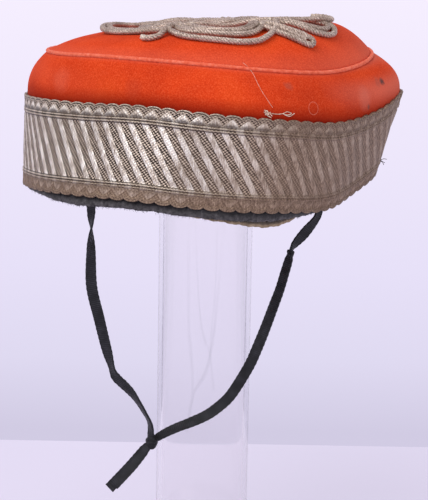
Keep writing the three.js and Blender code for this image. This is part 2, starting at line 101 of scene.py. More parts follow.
def mix_colour(tree, factor, a, b, blend="MIX"):
    node = add_node(tree, "ShaderNodeMix", data_type="RGBA", blend_type=blend)
    for socket, value in ((node.inputs[0], factor), (node.inputs[6], a), (node.inputs[7], b)):
        if isinstance(value, bpy.types.NodeSocket):
            tree.links.new(value, socket)
        else:
            socket.default_value = (*value, 1) if isinstance(value, tuple) else value
    return node.outputs[2]


def object_place(tree):
    return add_node(tree, "ShaderNodeTexCoord").outputs["Object"]


def noise(tree, vector, scale, detail=2.0, roughness=0.5):
    inputs = {"Vector": vector, "Scale": scale, "Detail": detail, "Roughness": roughness}
    return add_node(tree, "ShaderNodeTexNoise", inputs).outputs["Fac"]


def add_relief(tree, shader, *layers):
    normal = {}
    for height, strength, distance in layers:
        inputs = {"Height": height, "Strength": strength, "Distance": distance, **normal}
        normal = {"Normal": add_node(tree, "ShaderNodeBump", inputs).outputs[0]}
    tree.links.new(normal["Normal"], shader.inputs["Normal"])


def new_object(name, points, faces, material, uv=None):
    mesh = bpy.data.meshes.new(name)
    mesh.from_pydata([tuple(p) for p in points], [], faces)
    if uv is not None:
        layer = mesh.uv_layers.new(name="UVMap")
        layer.data.foreach_set("uv", np.asarray(uv, dtype=np.float32).ravel())
    mesh.shade_smooth()
    mesh.materials.append(material)
    obj = bpy.data.objects.new(name, mesh)
    bpy.context.collection.objects.link(obj)
    return obj


def join_rings(low, high, count):
    return [(low + k, low + (k + 1) % count, high + (k + 1) % count, high + k) for k in range(count)]


def between(a, b, c, d, t):
    return b + 0.5 * t * (c - a + t * (2 * a - 5 * b + 4 * c - d + t * (3 * (b - c) + d - a)))


def smooth_line(rows, steps):
    rows = np.asarray(rows, dtype=float)
    ends = np.vstack([2 * rows[0] - rows[1], rows, 2 * rows[-1] - rows[-2]])
    line = []
    for i in range(1, len(ends) - 2):
        for t in np.arange(steps) / steps:
            line.append(between(*ends[i - 1:i + 3], t))
    return np.array(line + [rows[-1]])


ribbon_width = 0.0055
ribbon_thickness = 0.0009
ribbon_left_rows = [
    (-0.0533, -0.0740, 0.2252, -41),
    (-0.0544, -0.0751, 0.2194, -41),
    (-0.0554, -0.0763, 0.2136, -41),
    (-0.0553, -0.0757, 0.2075, -47),
    (-0.0554, -0.0755, 0.2035, -60),
    (-0.0554, -0.0751, 0.1986, -87),
    (-0.0555, -0.0748, 0.1945, -107),
    (-0.0555, -0.0741, 0.1880, -129),
    (-0.0554, -0.0719, 0.1697, -163),
    (-0.0516, -0.0702, 0.1526, -190),
    (-0.0480, -0.0686, 0.1368, -205),
    (-0.0455, -0.0676, 0.1270, -235),
    (-0.0434, -0.0671, 0.1221, -205),
    (-0.0400, -0.0667, 0.1185, -200),
    (-0.0365, -0.0663, 0.1148, -210),
    (-0.0330, -0.0658, 0.1099, -232),
    (-0.0294, -0.0652, 0.1038, -242),
    (-0.0263, -0.0646, 0.0977, -246),
    (-0.0258, -0.0643, 0.0922, -236),
    (-0.0262, -0.0647, 0.0876, -212),
    (-0.0280, -0.0652, 0.0846, -205),
    (-0.0313, -0.0658, 0.0805, -204),
    (-0.0355, -0.0667, 0.0752, -200),
    (-0.0441, -0.0682, 0.0658, -195),
]
ribbon_right_rows = [
    (0.0586, -0.0538, 0.2208, 50),
    (0.0576, -0.0529, 0.2149, 50),
    (0.0565, -0.0521, 0.2091, 50),
    (0.0560, -0.0527, 0.2031, 50),
    (0.0499, -0.0535, 0.1948, 20),
    (0.0449, -0.0541, 0.1889, 45),
    (0.0429, -0.0545, 0.1853, 92),
    (0.0423, -0.0548, 0.1818, 125),
    (0.0404, -0.0555, 0.1746, 134),
    (0.0381, -0.0564, 0.1663, 137),
    (0.0352, -0.0572, 0.1580, 145),
    (0.0310, -0.0584, 0.1461, 152),
    (0.0273, -0.0594, 0.1366, 165),
    (0.0238, -0.0602, 0.1283, 170),
    (0.0185, -0.0611, 0.1188, 175),
    (0.0138, -0.0619, 0.1117, 170),
    (0.0090, -0.0623, 0.1069, 165),
    (0.0027, -0.0628, 0.1022, 160),
    (-0.0046, -0.0632, 0.0986, 160),
    (-0.0133, -0.0635, 0.0950, 150),
    (-0.0205, -0.0636, 0.0912, 140),
    (-0.0248, -0.0632, 0.0878, 150),
    (-0.0280, -0.0628, 0.0846, 155),
    (-0.0318, -0.0634, 0.0797, 156),
    (-0.0367, -0.0643, 0.0740, 160),
    (-0.0465, -0.0658, 0.0634, 165),
]
tie_place, tie_reach = (-0.0253, -0.0640, 0.0876), 0.0050
join_place, join_reach = (0.0429, -0.0545, 0.1853), 0.0022
drawn_narrower, drawn_thicker = 0.55, 0.9

ribbon_black, tree, shader = new_material("ribbon_black", (0.012, 0.012, 0.015), 0.6, Sheen_Weight=0.08,
                                          Sheen_Roughness=0.4, Specular_IOR_Level=0.3)
ribbon_uv = add_node(tree, "ShaderNodeUVMap", uv_map="UVMap").outputs[0]
across_ribs = add_node(tree, "ShaderNodeTexWave",
                       {"Vector": ribbon_uv, "Scale": 0.32, "Distortion": 0.6, "Detail": 1.0},
                       wave_type="BANDS", bands_direction="Y").outputs["Fac"]
dust = noise(tree, object_place(tree), 260, 3.0)
dusty_ribs = math(tree, "MULTIPLY_ADD", across_ribs, 0.35, math(tree, "MULTIPLY", dust, 0.9))
tree.links.new(ramp(tree, dusty_ribs, [(0.3, (0.003, 0.003, 0.004)), (0.62, (0.008, 0.008, 0.010)),
                                       (0.95, (0.030, 0.030, 0.036))]), shader.inputs["Base Color"])
add_relief(tree, shader, (across_ribs, 0.5, 0.0002))


def ribbon(name, rows, steps=14):
    line = smooth_line(rows, steps)
    points = line[:, :3]
    along = np.gradient(points, axis=0)
    along /= np.linalg.norm(along, axis=1)[:, None]
    face = np.radians(line[:, 3])
    side = np.stack([np.cos(face), np.sin(face), 0 * face], 1)
    side -= np.sum(side * along, axis=1)[:, None] * along
    side /= np.linalg.norm(side, axis=1)[:, None]
    out = np.cross(along, side)
    distance = np.concatenate([[0], np.cumsum(np.linalg.norm(np.diff(points, axis=0), axis=1))])
    # Cross-section: thicker woven edges, a slight cup and a faint ripple along the length
    outline = [(0.5, 0.0), (0.49, 0.55), (0.44, 0.6), (0.38, 0.42), (0.2, 0.46), (0.0, 0.5), (-0.2, 0.46),
               (-0.38, 0.42), (-0.44, 0.6), (-0.49, 0.55)]
    outline += [(-x, -y) for x, y in outline]
    count = len(outline)
    verts, uv_rows = [], []
    # Where a knot draws the ribbon together, it is narrower and thicker
    drawn = np.zeros(len(points))
    for middle, reach in ((tie_place, tie_reach), (join_place, join_reach)):
        drawn = np.maximum(drawn, np.exp(-(np.linalg.norm(points - middle, axis=1) / reach) ** 2))
    widths = ribbon_width * (1 - drawn_narrower * drawn)
    depths = ribbon_thickness * (1 + drawn_thicker * drawn)
    for i in range(len(points)):
        ripple = 0.00012 * np.sin(distance[i] * 900 + 1.3) + 0.0002 * np.sin(distance[i] * 210)
        for x, y in outline:
            cup = 0.0010 * (x * x - 0.1) * np.sin(distance[i] * 60 + 0.5)
            verts.append(points[i] + side[i] * (x * widths[i] + 0.0001 * np.sin(distance[i] * 2400 + 3 * x))
                         + out[i] * (y * depths[i] + cup + ripple * np.cos(3 * x)))
        uv_rows.append(distance[i] * 1000)
    faces, uv = [], []
    for i in range(len(points) - 1):
        faces += join_rings(i * count, (i + 1) * count, count)
        low, high = uv_rows[i:i + 2]
        for k in range(count):
            uv += [(k, low), (k + 1, low), (k + 1, high), (k, high)]
    faces.append(tuple(range(count))[::-1])
    faces.append(tuple((len(points) - 1) * count + k for k in range(count)))
    uv += [(0, 0)] * (2 * count)
    return new_object(name, verts, faces, ribbon_black, uv), [tuple(p) for p in points], float(distance[-1])


ribbon_left, left_path, left_length = ribbon("chin_ribbon_left", ribbon_left_rows)
ribbon_right, right_path, right_length = ribbon("chin_ribbon_right", ribbon_right_rows)


# Chin knot and join: where the ribbon is tied over itself, and where a second length was knotted on,
# each with a turn or two of ribbon drawn tight round a core.
def ribbon_turns(name, middle, turns, reach, height, half_width):
    verts, faces = [], []
    steps, flats = int(26 * turns), 10
    for i in range(steps + 1):
        turn = i / steps * 2 * np.pi * turns + 0.8
        radius = reach * (0.88 + 0.14 * np.sin(3 * turn))
        out = np.array([np.cos(turn), np.sin(turn), 0])
        climb = height * (i / steps - 0.5) + 0.25 * reach * np.sin(turn)
        ring = np.array(middle) + out * radius + np.array([0, 0, climb])
        for a in np.linspace(0, 2 * np.pi, flats, endpoint=False):
            lift = 0.32 * reach * np.cos(a) + 0.00012 * np.sin(i * 1.9 + a)
            half = half_width * (1 + 0.2 * np.sin(i * 0.4)) * np.sin(a)
            verts.append(ring + out * lift + np.array([0, 0, half]))
    for i in range(steps):
        for k in range(flats):
            n = (k + 1) % flats
            faces.append((i * flats + k, (i + 1) * flats + k, (i + 1) * flats + n, i * flats + n))
    faces.append(tuple(range(flats)))
    faces.append(tuple(steps * flats + k for k in range(flats))[::-1])
    # The core that the turns are drawn round: a barrel
    core = len(verts)
    rings, sides = 9, 14
    for r in range(rings):
        up = -1 + 2 * r / (rings - 1)
        wide = reach * np.sqrt(max(1 - (0.93 * up) ** 4, 0.02))
        level_up = 0.72 * (height + half_width) * up
        for k in range(sides):
            a = 2 * np.pi * k / sides
            verts.append(np.array(middle) + np.array([wide * np.cos(a), wide * np.sin(a), level_up]))
    for r in range(rings - 1):
        faces += join_rings(core + r * sides, core + (r + 1) * sides, sides)
    faces.append(tuple(core + k for k in range(sides))[::-1])
    faces.append(tuple(core + (rings - 1) * sides + k for k in range(sides)))
    return new_object(name, verts, faces, ribbon_black, [(0, 0)] * sum(len(f) for f in faces))


chin_tie = ribbon_turns("chin_tie", tie_place, 2.25, 0.0025, 0.0036, 0.0013)
ribbon_join = ribbon_turns("ribbon_join", (0.0431, -0.0546, 0.1843), 1.4, 0.0015, 0.0018, 0.0009)
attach(ribbon_join, "root")
for piece, nodes in ((ribbon_left, ("ribbon_left", "ribbon_end_front")), (chin_tie, ("chin_knot",)),
                     (ribbon_right, ("ribbon_right", "ribbon_end_back"))):
    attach(piece, "root")
    for node in nodes:
        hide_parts(node)

# Wool side of the crown: fulled scarlet wool, cut as one strip and sewn behind the lace, which
# bulges softly up to the seam. The cap's plan and lean are its own: each row of the plan is a
# sixteenth of a turn from the right end, in shares of the sizes here.
band_radius, lace_height, seam_radius, seam_height = 0.092, 0.046, 0.080, 0.022
crown_height, crown_slope, shoulder_share, side_fullness = 0.0355, 0.066, 0.34, 0.0008
lace_thickness, cloth_thickness, piping_radius, piece_gap = 0.0012, 0.002, 0.001, 0.0003
wool_foot_share, swell_height, seam_puckers = 5 / 46, 0.00022, 130
cap_middle = (0.004, -0.008, 0.258714)
plan_columns = ("rim", "band", "lift", "seam", "rise", "binding", "sweat")
cap_plan = [
    (0.915, 1.055, 0.065, 1.01, 1.04, -0.3, -0.3),
    (0.99, 1.1, 0.075, 1.04, 1.14, -0.1, -0.2),
    (1.02, 1.04, 0.06, 1.03, 1.15, 0, -0.2),
    (1.05, 1, 0.05, 1.02, 1.12, 0.2, -0.2),
    (1.05, 0.98, 0.04, 1.01, 1.09, 0.3, -0.2),
    (1.06, 0.99, 0.03, 1.02, 1.05, 0.3, -0.2),
    (1.07, 1.02, 0.01, 1.05, 1.03, 0.2, -0.2),
    (1.07, 1.06, 0, 1.08, 1.02, 0.1, -0.2),
    (1.08, 1.08, -0.01, 1.09, 1.01, 0, -0.2),
    (1.08, 1.02, 0.01, 1.06, 1.02, 0.3, 0),
    (1.06, 0.93, 0.02, 1, 1.05, 0.95, 0.2),
    (1.03, 0.94, 0.04, 0.96, 1.02, 0.85, 0.2),
    (0.99, 0.98, -0.01, 0.94, 0.94, 1.05, 0.75),
    (0.91, 0.97, -0.08, 0.94, 0.83, 0.95, 1.1),
    (0.83, 0.93, -0.14, 0.95, 0.77, 0.1, -0.3),
    (0.81, 0.95, -0.085, 0.97, 0.87, -0.3, -0.3),
]


def around(name, angle):
    rows = np.array(cap_plan)[:, plan_columns.index(name)]
    place = (np.asarray(angle) / (2 * np.pi)) % 1 * len(rows)
    i = np.floor(place).astype(int)
    return between(*[rows[(i + step) % len(rows)] for step in (-1, 0, 1, 2)], place - i)


def band_edge(angle):
    return band_radius * around("band", angle), lace_height * around("lift", angle)


def rim_edge(angle):
    reach, height = band_edge(angle)
    low = band_radius * around("rim", angle)
    return low, height - np.sqrt(lace_height ** 2 - (reach - low) ** 2)


def lace_point(angle, share, depth):
    (low, low_z), (high, high_z) = rim_edge(angle), band_edge(angle)
    along = ((high - low) / lace_height, (high_z - low_z) / lace_height)
    reach = low + (high - low) * share - along[1] * depth
    return reach, low_z + (high_z - low_z) * share + along[0] * depth


def seam_point(angle):
    return seam_radius * around("seam", angle), seam_height * around("rise", angle)


def crown_point(angle, share):
    reach, height = seam_point(angle)
    climb = 1 - np.maximum(0, 1 - (1 - share) / shoulder_share) ** 2
    level_height = crown_height + crown_slope * reach * share * np.cos(angle)
    return reach * share, height + (level_height - height) * climb


def in_space(reach, height, angle):
    x, y, z = cap_middle
    return np.stack([reach * np.cos(angle) + x, reach * np.sin(angle) + y, height + z + 0 * angle], -1)


def ring_mesh(name, rows, material, along=None, heights=None):
    rows = np.asarray(rows)
    count, columns = rows.shape[:2]
    along = np.arange(columns + 1) / columns if along is None else np.asarray(along)
    heights = np.zeros((count, columns)) if heights is None else np.asarray(heights)
    faces, uv = [], []
    for r in range(count):
        s = (r + 1) % count
        faces += join_rings(r * columns, s * columns, columns)
        for c in range(columns):
            n = (c + 1) % columns
            uv += [(along[c], heights[r, c]), (along[c + 1], heights[r, n]), (along[c + 1], heights[s, n]),
                   (along[c], heights[s, c])]
    return new_object(name, rows.reshape(-1, 3), faces, material, uv)


def painted(tree, name):
    return add_node(tree, "ShaderNodeAttribute", attribute_name=name).outputs["Fac"]


def distance_from(tree, place, middle):
    inputs = {0: place, 1: middle}
    return add_node(tree, "ShaderNodeVectorMath", inputs, operation="DISTANCE").outputs["Value"]


wool, tree, shader = new_material("wool", (0.60, 0.07, 0.02), 0.95, Sheen_Weight=0.06, Sheen_Roughness=0.5,
                                  Sheen_Tint=(1.0, 0.35, 0.2, 1), Specular_IOR_Level=0.06)
place = object_place(tree)
cloudy = noise(tree, place, 28, 3.0)
nap = noise(tree, place, 1500, 2.0, 0.7)
felting = noise(tree, place, 4200, 2.0, 0.6)
wear, shade_above_lace = painted(tree, "wear"), painted(tree, "shade_above_lace")
base = ramp(tree, cloudy, [(0.30, (0.44, 0.026, 0.005)), (0.52, (0.66, 0.051, 0.008)),
                           (0.75, (0.80, 0.084, 0.013))])
speckle = ramp(tree, nap, [(0.34, (0.44, 0.022, 0.005)), (0.50, (0.66, 0.052, 0.010)),
                           (0.66, (0.86, 0.130, 0.045))])
base = mix_colour(tree, 0.45, base, speckle)
# Painted shade: the side is darker down towards the lace
base = mix_colour(tree, math(tree, "MULTIPLY", shade_above_lace, 0.9), base, (0.25, 0.009, 0.002))
base = mix_colour(tree, math(tree, "MULTIPLY", wear, 0.65), base, (0.72, 0.19, 0.125))
# A faint pale ring, as a drop that dried
ring_line = math(tree, "COMPARE", distance_from(tree, place, (0.0511, -0.0797, 0.2598)), 0.0031, 0.00013)
base = mix_colour(tree, math(tree, "MULTIPLY", ring_line, 0.4), base, (0.85, 0.33, 0.22))
# Marks on the cloth: where, how wide, how strong and of what colour
wool_marks = [
    ((0.0882, -0.0296, 0.2693), 0.0024, 0.90, (0.085, 0.050, 0.046)),
    ((0.0855, -0.0330, 0.2690), 0.0034, 0.30, (0.20, 0.080, 0.065)),
    ((0.0806, -0.0455, 0.2577), 0.0016, 0.75, (0.12, 0.045, 0.036)),
    ((0.0784, -0.0482, 0.2622), 0.0075, 0.22, (0.78, 0.260, 0.180)),
    ((0.0385, -0.0828, 0.2703), 0.0032, 0.32, (0.22, 0.090, 0.070)),
    ((-0.0354, -0.0823, 0.2680), 0.0060, 0.16, (0.30, 0.050, 0.030)),
    ((-0.0723, -0.0533, 0.2690), 0.0075, 0.14, (0.80, 0.220, 0.130)),
]
ragged = math(tree, "MULTIPLY", math(tree, "SUBTRACT", noise(tree, place, 420, 3.0, 0.6), 0.5), 0.0034)
for middle, reach, strength, mark in wool_marks:
    away = math(tree, "ADD", distance_from(tree, place, middle), ragged)
    inside = math(tree, "DIVIDE", math(tree, "SUBTRACT", reach, away), 0.6 * reach, clamp=True)
    base = mix_colour(tree, math(tree, "MULTIPLY", inside, strength), base, mark)
tree.links.new(base, shader.inputs["Base Color"])
add_relief(tree, shader, (nap, 0.35, 0.0004), (felting, 0.25, 0.0002))


def paint(obj, name, values):
    layer = obj.data.attributes.new(name, "FLOAT", "POINT")
    layer.data.foreach_set("value", np.asarray(values, dtype=np.float32).ravel())


def all_round(count):
    return np.arange(count) * 2 * np.pi / count


cap_columns = 480
cap_angles = all_round(cap_columns)


def waves(x, y):
    broad = np.sin(5 * x + 1.1) * np.sin(90 * y + 0.4) + 0.6 * np.sin(11 * x + 2.3 + 60 * y)
    return broad + 0.4 * np.sin(19 * x - 150 * y) + 0.3 * np.sin(37 * x + 210 * y + 0.7)


def side_profile(angle, shares):
    behind = lace_thickness + piece_gap
    foot = lace_point(angle, wool_foot_share, behind)
    start = lace_point(angle, 1, behind)
    seam_r, seam_z = seam_point(angle)
    seam_gap = piping_radius - 0.0001
    end = (seam_r + 0.5 * seam_gap, seam_z - 0.87 * seam_gap)
    full = (start[0] + side_fullness, start[1] + 0.6 * (end[1] - start[1]))
    line = []
    for share in shares:
        if share < 0:
            line.append([foot[k] + (start[k] - foot[k]) * (1 + share) for k in (0, 1)])
        else:
            a, b, c = (1 - share) ** 2, 2 * share * (1 - share), share ** 2
            line.append([a * start[k] + b * full[k] + c * end[k] for k in (0, 1)])
    return np.array(line)


side_shares = np.concatenate([[-1, -0.6, -0.3, -0.12], np.linspace(0, 1, 26)])
outer = side_profile(cap_angles, side_shares)
slope = np.gradient(outer, axis=0)
slope /= np.linalg.norm(slope, axis=1)[:, None]
normal = np.stack([slope[:, 1], -slope[:, 0]], 1)
seen_share = np.clip(side_shares, 0, 1)[:, None]
swell = swell_height * waves(cap_angles[None, :], outer[:, 1]) * seen_share * (1 - seen_share ** 6)
near_seam = np.clip(side_shares * 6 - 5, 0, 1)[:, None]
pucker = 0.00018 * np.sin(cap_angles * seam_puckers)[None, :] * near_seam * (side_shares < 1)[:, None]
skin = outer + normal * (swell + pucker)[:, None, :]
inner = (outer - normal * cloth_thickness)[::-1]
rows = [in_space(r, z, cap_angles) for r, z in np.concatenate([skin, inner])]
wool_side = ring_mesh("wool_side", rows, wool)
# Worn paler round the ends and along the seam, and darker down behind the lace, which is painted shade
to_right = np.cos(cap_angles)
ends = np.clip(np.abs(to_right) * 2.2 - 1.35, 0, 1) * np.where(to_right > 0, 1, 0.15)
skin_share = np.clip(np.concatenate([side_shares, side_shares[::-1]]), 0, 1)[:, None]
patches = 0.5 + 0.5 * np.sin(7 * skin_share + 3 * cap_angles)
paint(wool_side, "wear", ends[None, :] * patches + np.clip(skin_share * 9 - 8.2, 0, 1) * 0.4)
# Painted shade, strongest at the foot of the side and weaker at the worn ends
paint(wool_side, "shade_above_lace", np.clip(1 - skin_share * 3.2, 0, 1) * (1 + 0 * cap_angles) * (1 - 0.5 * ends))

# Wool top panel: a disc of the same cloth, pressed into a flat dome with rounded shoulders and seamed
# to the side panel all round.
top_shares = np.concatenate([np.linspace(1, 0.6, 34), np.linspace(0.56, 0.06, 16)])
outer = np.array([crown_point(cap_angles, share) for share in top_shares])
outer[0] += np.array([-0.75, 0.60])[:, None] * piping_radius
outer[1] += np.array([-0.3, 0.3])[:, None] * piping_radius
plan_x, plan_y = outer[:, 0] * np.cos(cap_angles), outer[:, 0] * np.sin(cap_angles)
ease = np.clip((1 - top_shares) * 12, 0, 1)[:, None]
skin = outer.copy()
hollows = swell_height * np.sin(60 * plan_x + 2) * np.sin(75 * plan_y + 1)
hollows = hollows + 0.00012 * np.sin(140 * plan_x + 90 * plan_y)
skin[:, 1] += ease * hollows
near_seam = np.clip(1 - (1 - top_shares) * 22, 0, 1)[:, None]
skin[:, 1] += 0.00016 * np.sin(cap_angles * seam_puckers + 1)[None, :] * near_seam
below = outer.copy()
below[:, 1] -= cloth_thickness
below[:, 0] *= 0.985
count = len(top_shares)
points = np.concatenate([in_space(r, z, cap_angles) for r, z in (*skin, *below[::-1])])
points = np.vstack([points, [cap_middle[0], cap_middle[1], cap_middle[2] + crown_height],
                    [cap_middle[0], cap_middle[1], cap_middle[2] + crown_height - cloth_thickness]])
faces = []
peak, ceiling = len(points) - 2, len(points) - 1
for r in (*range(count - 1), *range(count, 2 * count - 1)):
    faces += join_rings(r * cap_columns, (r + 1) * cap_columns, cap_columns)
for c in range(cap_columns):
    n = (c + 1) % cap_columns
    faces.append(((count - 1) * cap_columns + c, (count - 1) * cap_columns + n, peak))
    faces.append((count * cap_columns + n, count * cap_columns + c, ceiling))
    faces.append(((2 * count - 1) * cap_columns + c, (2 * count - 1) * cap_columns + n, n, c))
wool_top = new_object("wool_top", points, faces, wool)
seam_wear = np.clip(1 - (1 - top_shares) * 9, 0, 1)[:, None] * 0.35
right_end = np.clip(to_right * 1.5 - 0.9, 0, 1)
top_wear = seam_wear + right_end * np.clip(1 - (1 - top_shares) * 4, 0, 1)[:, None] * 0.5
paint(wool_top, "wear", np.concatenate([top_wear.ravel(), np.zeros(count * cap_columns + 2)]))
paint(wool_top, "shade_above_lace", np.zeros(len(points)))
for piece, node in ((wool_side, "crown_side"), (wool_top, "crown_top")):
    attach(piece, "root")
    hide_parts(node)

# Piping: a thin cord covered with the wool and sewn into the seam between side and top, where
# handling has rubbed it paler.
piping_wool, tree, shader = new_material("piping_wool", (0.72, 0.13, 0.06), 0.85, Sheen_Weight=0.15,
                                         Sheen_Tint=(1.0, 0.5, 0.35, 1))
place = object_place(tree)
tree.links.new(ramp(tree, noise(tree, place, 500, 3.0, 0.65),
                    [(0.3, (0.66, 0.075, 0.022)), (0.5, (0.78, 0.125, 0.052)), (0.72, (0.84, 0.21, 0.12))]),
               shader.inputs["Base Color"])
add_relief(tree, shader, (noise(tree, place, 1500, 2.0), 0.4, 0.0003))
piping_columns, piping_sides = 1200, 10
angles = all_round(piping_columns)
seam_r, seam_z = seam_point(angles)
rows = []
for k in range(piping_sides):
    turn = 2 * np.pi * k / piping_sides
    radius = piping_radius * (1 + 0.05 * np.sin(angles * 290 + 1.5 * turn) + 0.05 * np.sin(angles * 71))
    rows.append(in_space(seam_r + radius * np.cos(turn), seam_z + radius * np.sin(turn), angles))
piping = ring_mesh("piping", rows, piping_wool)
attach(piping, "root")
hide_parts("crown_piping")

# Lace band: silver gilt thread woven in one strip, with slanting satin stripes between open mesh,
# two raised ribs and scalloped borders, sewn on round the edge. Its columns follow the stripes' slant.
scallops, columns_each, scallop_depth = 75, 16, 0.0018
stripe_start, stripe_shift = 0.43, 51 / 16
rib_lift, stripe_lift, edging_lift, dome_lift = 0.00055, 0.00030, 0.0003, 0.00025
upper_rib, lower_rib, rib_half = 0.835, 0.163, 0.028
lace_columns = scallops * columns_each
# Fine steps round the cap, along which the scallops are spaced by their length
fine_angles = np.linspace(0, 2 * np.pi, 1441)


def angles_at(share, index):
    reach, height = lace_point(fine_angles, share, 0)
    line = in_space(reach, height, fine_angles)
    length = np.concatenate([[0], np.cumsum(np.linalg.norm(np.diff(line, axis=0), axis=1))])
    return np.interp(index % scallops, length / length[-1] * scallops, fine_angles)


column = np.arange(lace_columns) / columns_each
from_tip = 1 - np.abs(2 * (column % 1) - 1)
edge = scallop_depth / lace_height * (1 - np.sqrt(np.clip(1 - 0.93 * (1 - from_tip) ** 2, 0, 1)))
border = [0.0, 0.05, 0.11, 0.17, 0.24, 0.32, 0.41, 0.5, 0.6, 0.7, 0.8, 0.9]
rib_steps = [0.0, 0.12, 0.3, 0.42, 0.5, 0.58, 0.7, 0.88, 1.0]
field = np.linspace(0, 1, 20)[1:-1]
field_foot, field_height = lower_rib + rib_half, upper_rib - lower_rib - 2 * rib_half
across_band = [
    *(("lower", t, edge + (lower_rib - rib_half - edge) * t) for t in border),
    *(("rib", t, lower_rib + rib_half * (2 * t - 1) + 0 * column) for t in rib_steps),
    *(("field", t, field_foot + field_height * t + 0 * column) for t in field),
    *(("rib", t, upper_rib + rib_half * (2 * t - 1) + 0 * column) for t in rib_steps),
    *(("upper", t, (upper_rib + rib_half) * t + (1 - edge) * (1 - t)) for t in border[::-1]),
]


def lace_row(share, inwards):
    slant = np.clip((upper_rib - np.mean(share)) / (upper_rib - lower_rib), 0, 1)
    angle = angles_at(np.mean(share), column + stripe_start + stripe_shift * slant)
    return in_space(*lace_point(angle, share, inwards), angle)


rows, heights, depths, borders = [], [], [], []
# The woven strip isn't quite even: it wanders in and out a little as it goes round
wander = 0.00025 * (np.sin(column * 0.9) + np.sin(column * 0.37 + 2))
for kind, t, share in across_band:
    from_edge = np.abs(share - edge if kind == "lower" else 1 - edge - share) * lace_height * 1000
    lift = 0 * column
    if kind == "rib":
        lift = rib_lift * abs(np.sin(2 * np.pi * t)) ** 0.7 + 0 * column
    if kind == "field":
        away = np.abs((column - 0.10 + 0.5) % 1 - 0.5)
        lift = stripe_lift * np.sqrt(np.clip(1 - (away / 0.25) ** 2, 0, 1))
    if kind in ("lower", "upper"):
        vee = 2.5 + 3.0 * (1 - from_tip) ** 1.3
        lift = edging_lift * (from_edge < 1.7) + dome_lift * np.clip((from_edge - vee) / 0.8, 0, 1)
    rows.append(lace_row(share, -(lift + wander)))
    heights.append(share)
    depths.append(from_edge)
    borders.append({"lower": -1, "upper": 1}.get(kind, 0) + 0 * column)
for share in (1 - edge, edge):
    rows.append(lace_row(share, lace_thickness - wander))
    heights.append(share)
    depths.append(0 * column)
    borders.append(0 * column)

metal_lace, tree, shader = new_material("metal_lace", (0.5, 0.45, 0.4), 0.42, Metallic=0.45)


def line_at(tree, distance, middle, half, soft):
    away = math(tree, "ABSOLUTE", math(tree, "SUBTRACT", distance, middle))
    return math(tree, "DIVIDE", math(tree, "SUBTRACT", half + soft, away), soft, clamp=True)


def above(tree, distance, limit, soft):
    return math(tree, "DIVIDE", math(tree, "SUBTRACT", distance, limit), soft, clamp=True)


split = add_node(tree, "ShaderNodeSeparateXYZ",
                 {"Vector": add_node(tree, "ShaderNodeUVMap", uv_map="UVMap").outputs[0]})
place = object_place(tree)
index, height = split.outputs[0], split.outputs[1]
ply = noise(tree, place, 1500, 2.0, 0.6)
jagged = math(tree, "MULTIPLY", math(tree, "SUBTRACT", ply, 0.5), 0.10)
in_border = math(tree, "ABSOLUTE", painted(tree, "border"))
in_lower = math(tree, "MULTIPLY", painted(tree, "border"), -1.0, clamp=True)
from_edge = math(tree, "ADD", painted(tree, "depth"), math(tree, "MULTIPLY", jagged, 2.5))
# Slanting satin stripes in the field, each with a dark line of painted shade on either side, and a satin
# dome under each scallop
stripe_half, stripe_line = 0.205, 0.248
in_stripe = math(tree, "FRACT", math(tree, "ADD", index, 0.40))
away = math(tree, "ABSOLUTE", math(tree, "SUBTRACT", in_stripe, 0.5))
away = math(tree, "ADD", away, jagged)
stripe = math(tree, "SUBTRACT", 1.0, above(tree, away, stripe_half, 0.03))
stripe_edge = line_at(tree, away, stripe_line, 0.012, 0.02)
towards_cusp = math(tree, "ABSOLUTE", math(tree, "MULTIPLY_ADD", math(tree, "FRACT", index), 2.0, -1.0))
vee = math(tree, "MULTIPLY_ADD", math(tree, "POWER", towards_cusp, 1.4), 2.7, 2.1)
past_vee = math(tree, "SUBTRACT", from_edge, vee)
dome = above(tree, past_vee, 0.0, 0.25)
# Open mesh: a lattice of small dark holes between pale threads, so many to a scallop and up the band
mesh_across, mesh_up = 4, 28
below_rib = math(tree, "SUBTRACT", upper_rib,
                 math(tree, "MINIMUM", math(tree, "MAXIMUM", height, lower_rib), upper_rib))
round_index = math(tree, "MULTIPLY_ADD", below_rib, stripe_shift / (upper_rib - lower_rib), index)
across = math(tree, "SINE", math(tree, "MULTIPLY", round_index, 2 * np.pi * mesh_across))
upright = math(tree, "SINE", math(tree, "MULTIPLY", height, 2 * np.pi * mesh_up))
lattice = math(tree, "MULTIPLY_ADD", math(tree, "MULTIPLY", across, upright), 0.5, 0.5)
uneven = math(tree, "SUBTRACT", noise(tree, place, 620, 2.0, 0.6), 0.5)
uneven = math(tree, "MULTIPLY_ADD", jagged, 1.5, math(tree, "MULTIPLY", uneven, 0.8))
lattice = math(tree, "ADD", lattice, uneven)
mesh_colour = ramp(tree, lattice, [(0.34, (0.66, 0.54, 0.42)), (0.47, (0.20, 0.135, 0.092)),
                                   (0.58, (0.010, 0.006, 0.004))])
# Satin: smooth floats of thread, which run up the band
streaks = add_node(tree, "ShaderNodeMapping",
                   {"Vector": place, "Scale": (1500, 1500, 260), "Rotation": (0, 0.12, 0)}).outputs[0]
silk = add_node(tree, "ShaderNodeTexNoise",
                {"Vector": streaks, "Scale": 1.0, "Detail": 3.0, "Roughness": 0.65}).outputs["Fac"]
sweep = noise(tree, place, 160, 2.0)
satin_colour = ramp(tree, math(tree, "MULTIPLY_ADD", sweep, 0.45, math(tree, "MULTIPLY", silk, 0.75)),
                    [(0.38, (0.26, 0.195, 0.145)), (0.56, (0.62, 0.53, 0.44)), (0.70, (1.0, 0.94, 0.85))])
satin = mix_colour(tree, in_border, stripe, dome)
mesh_colour = mix_colour(tree, math(tree, "MULTIPLY", in_lower, 0.55), mesh_colour, (0.20, 0.14, 0.10))
colour = mix_colour(tree, satin, mesh_colour, satin_colour)
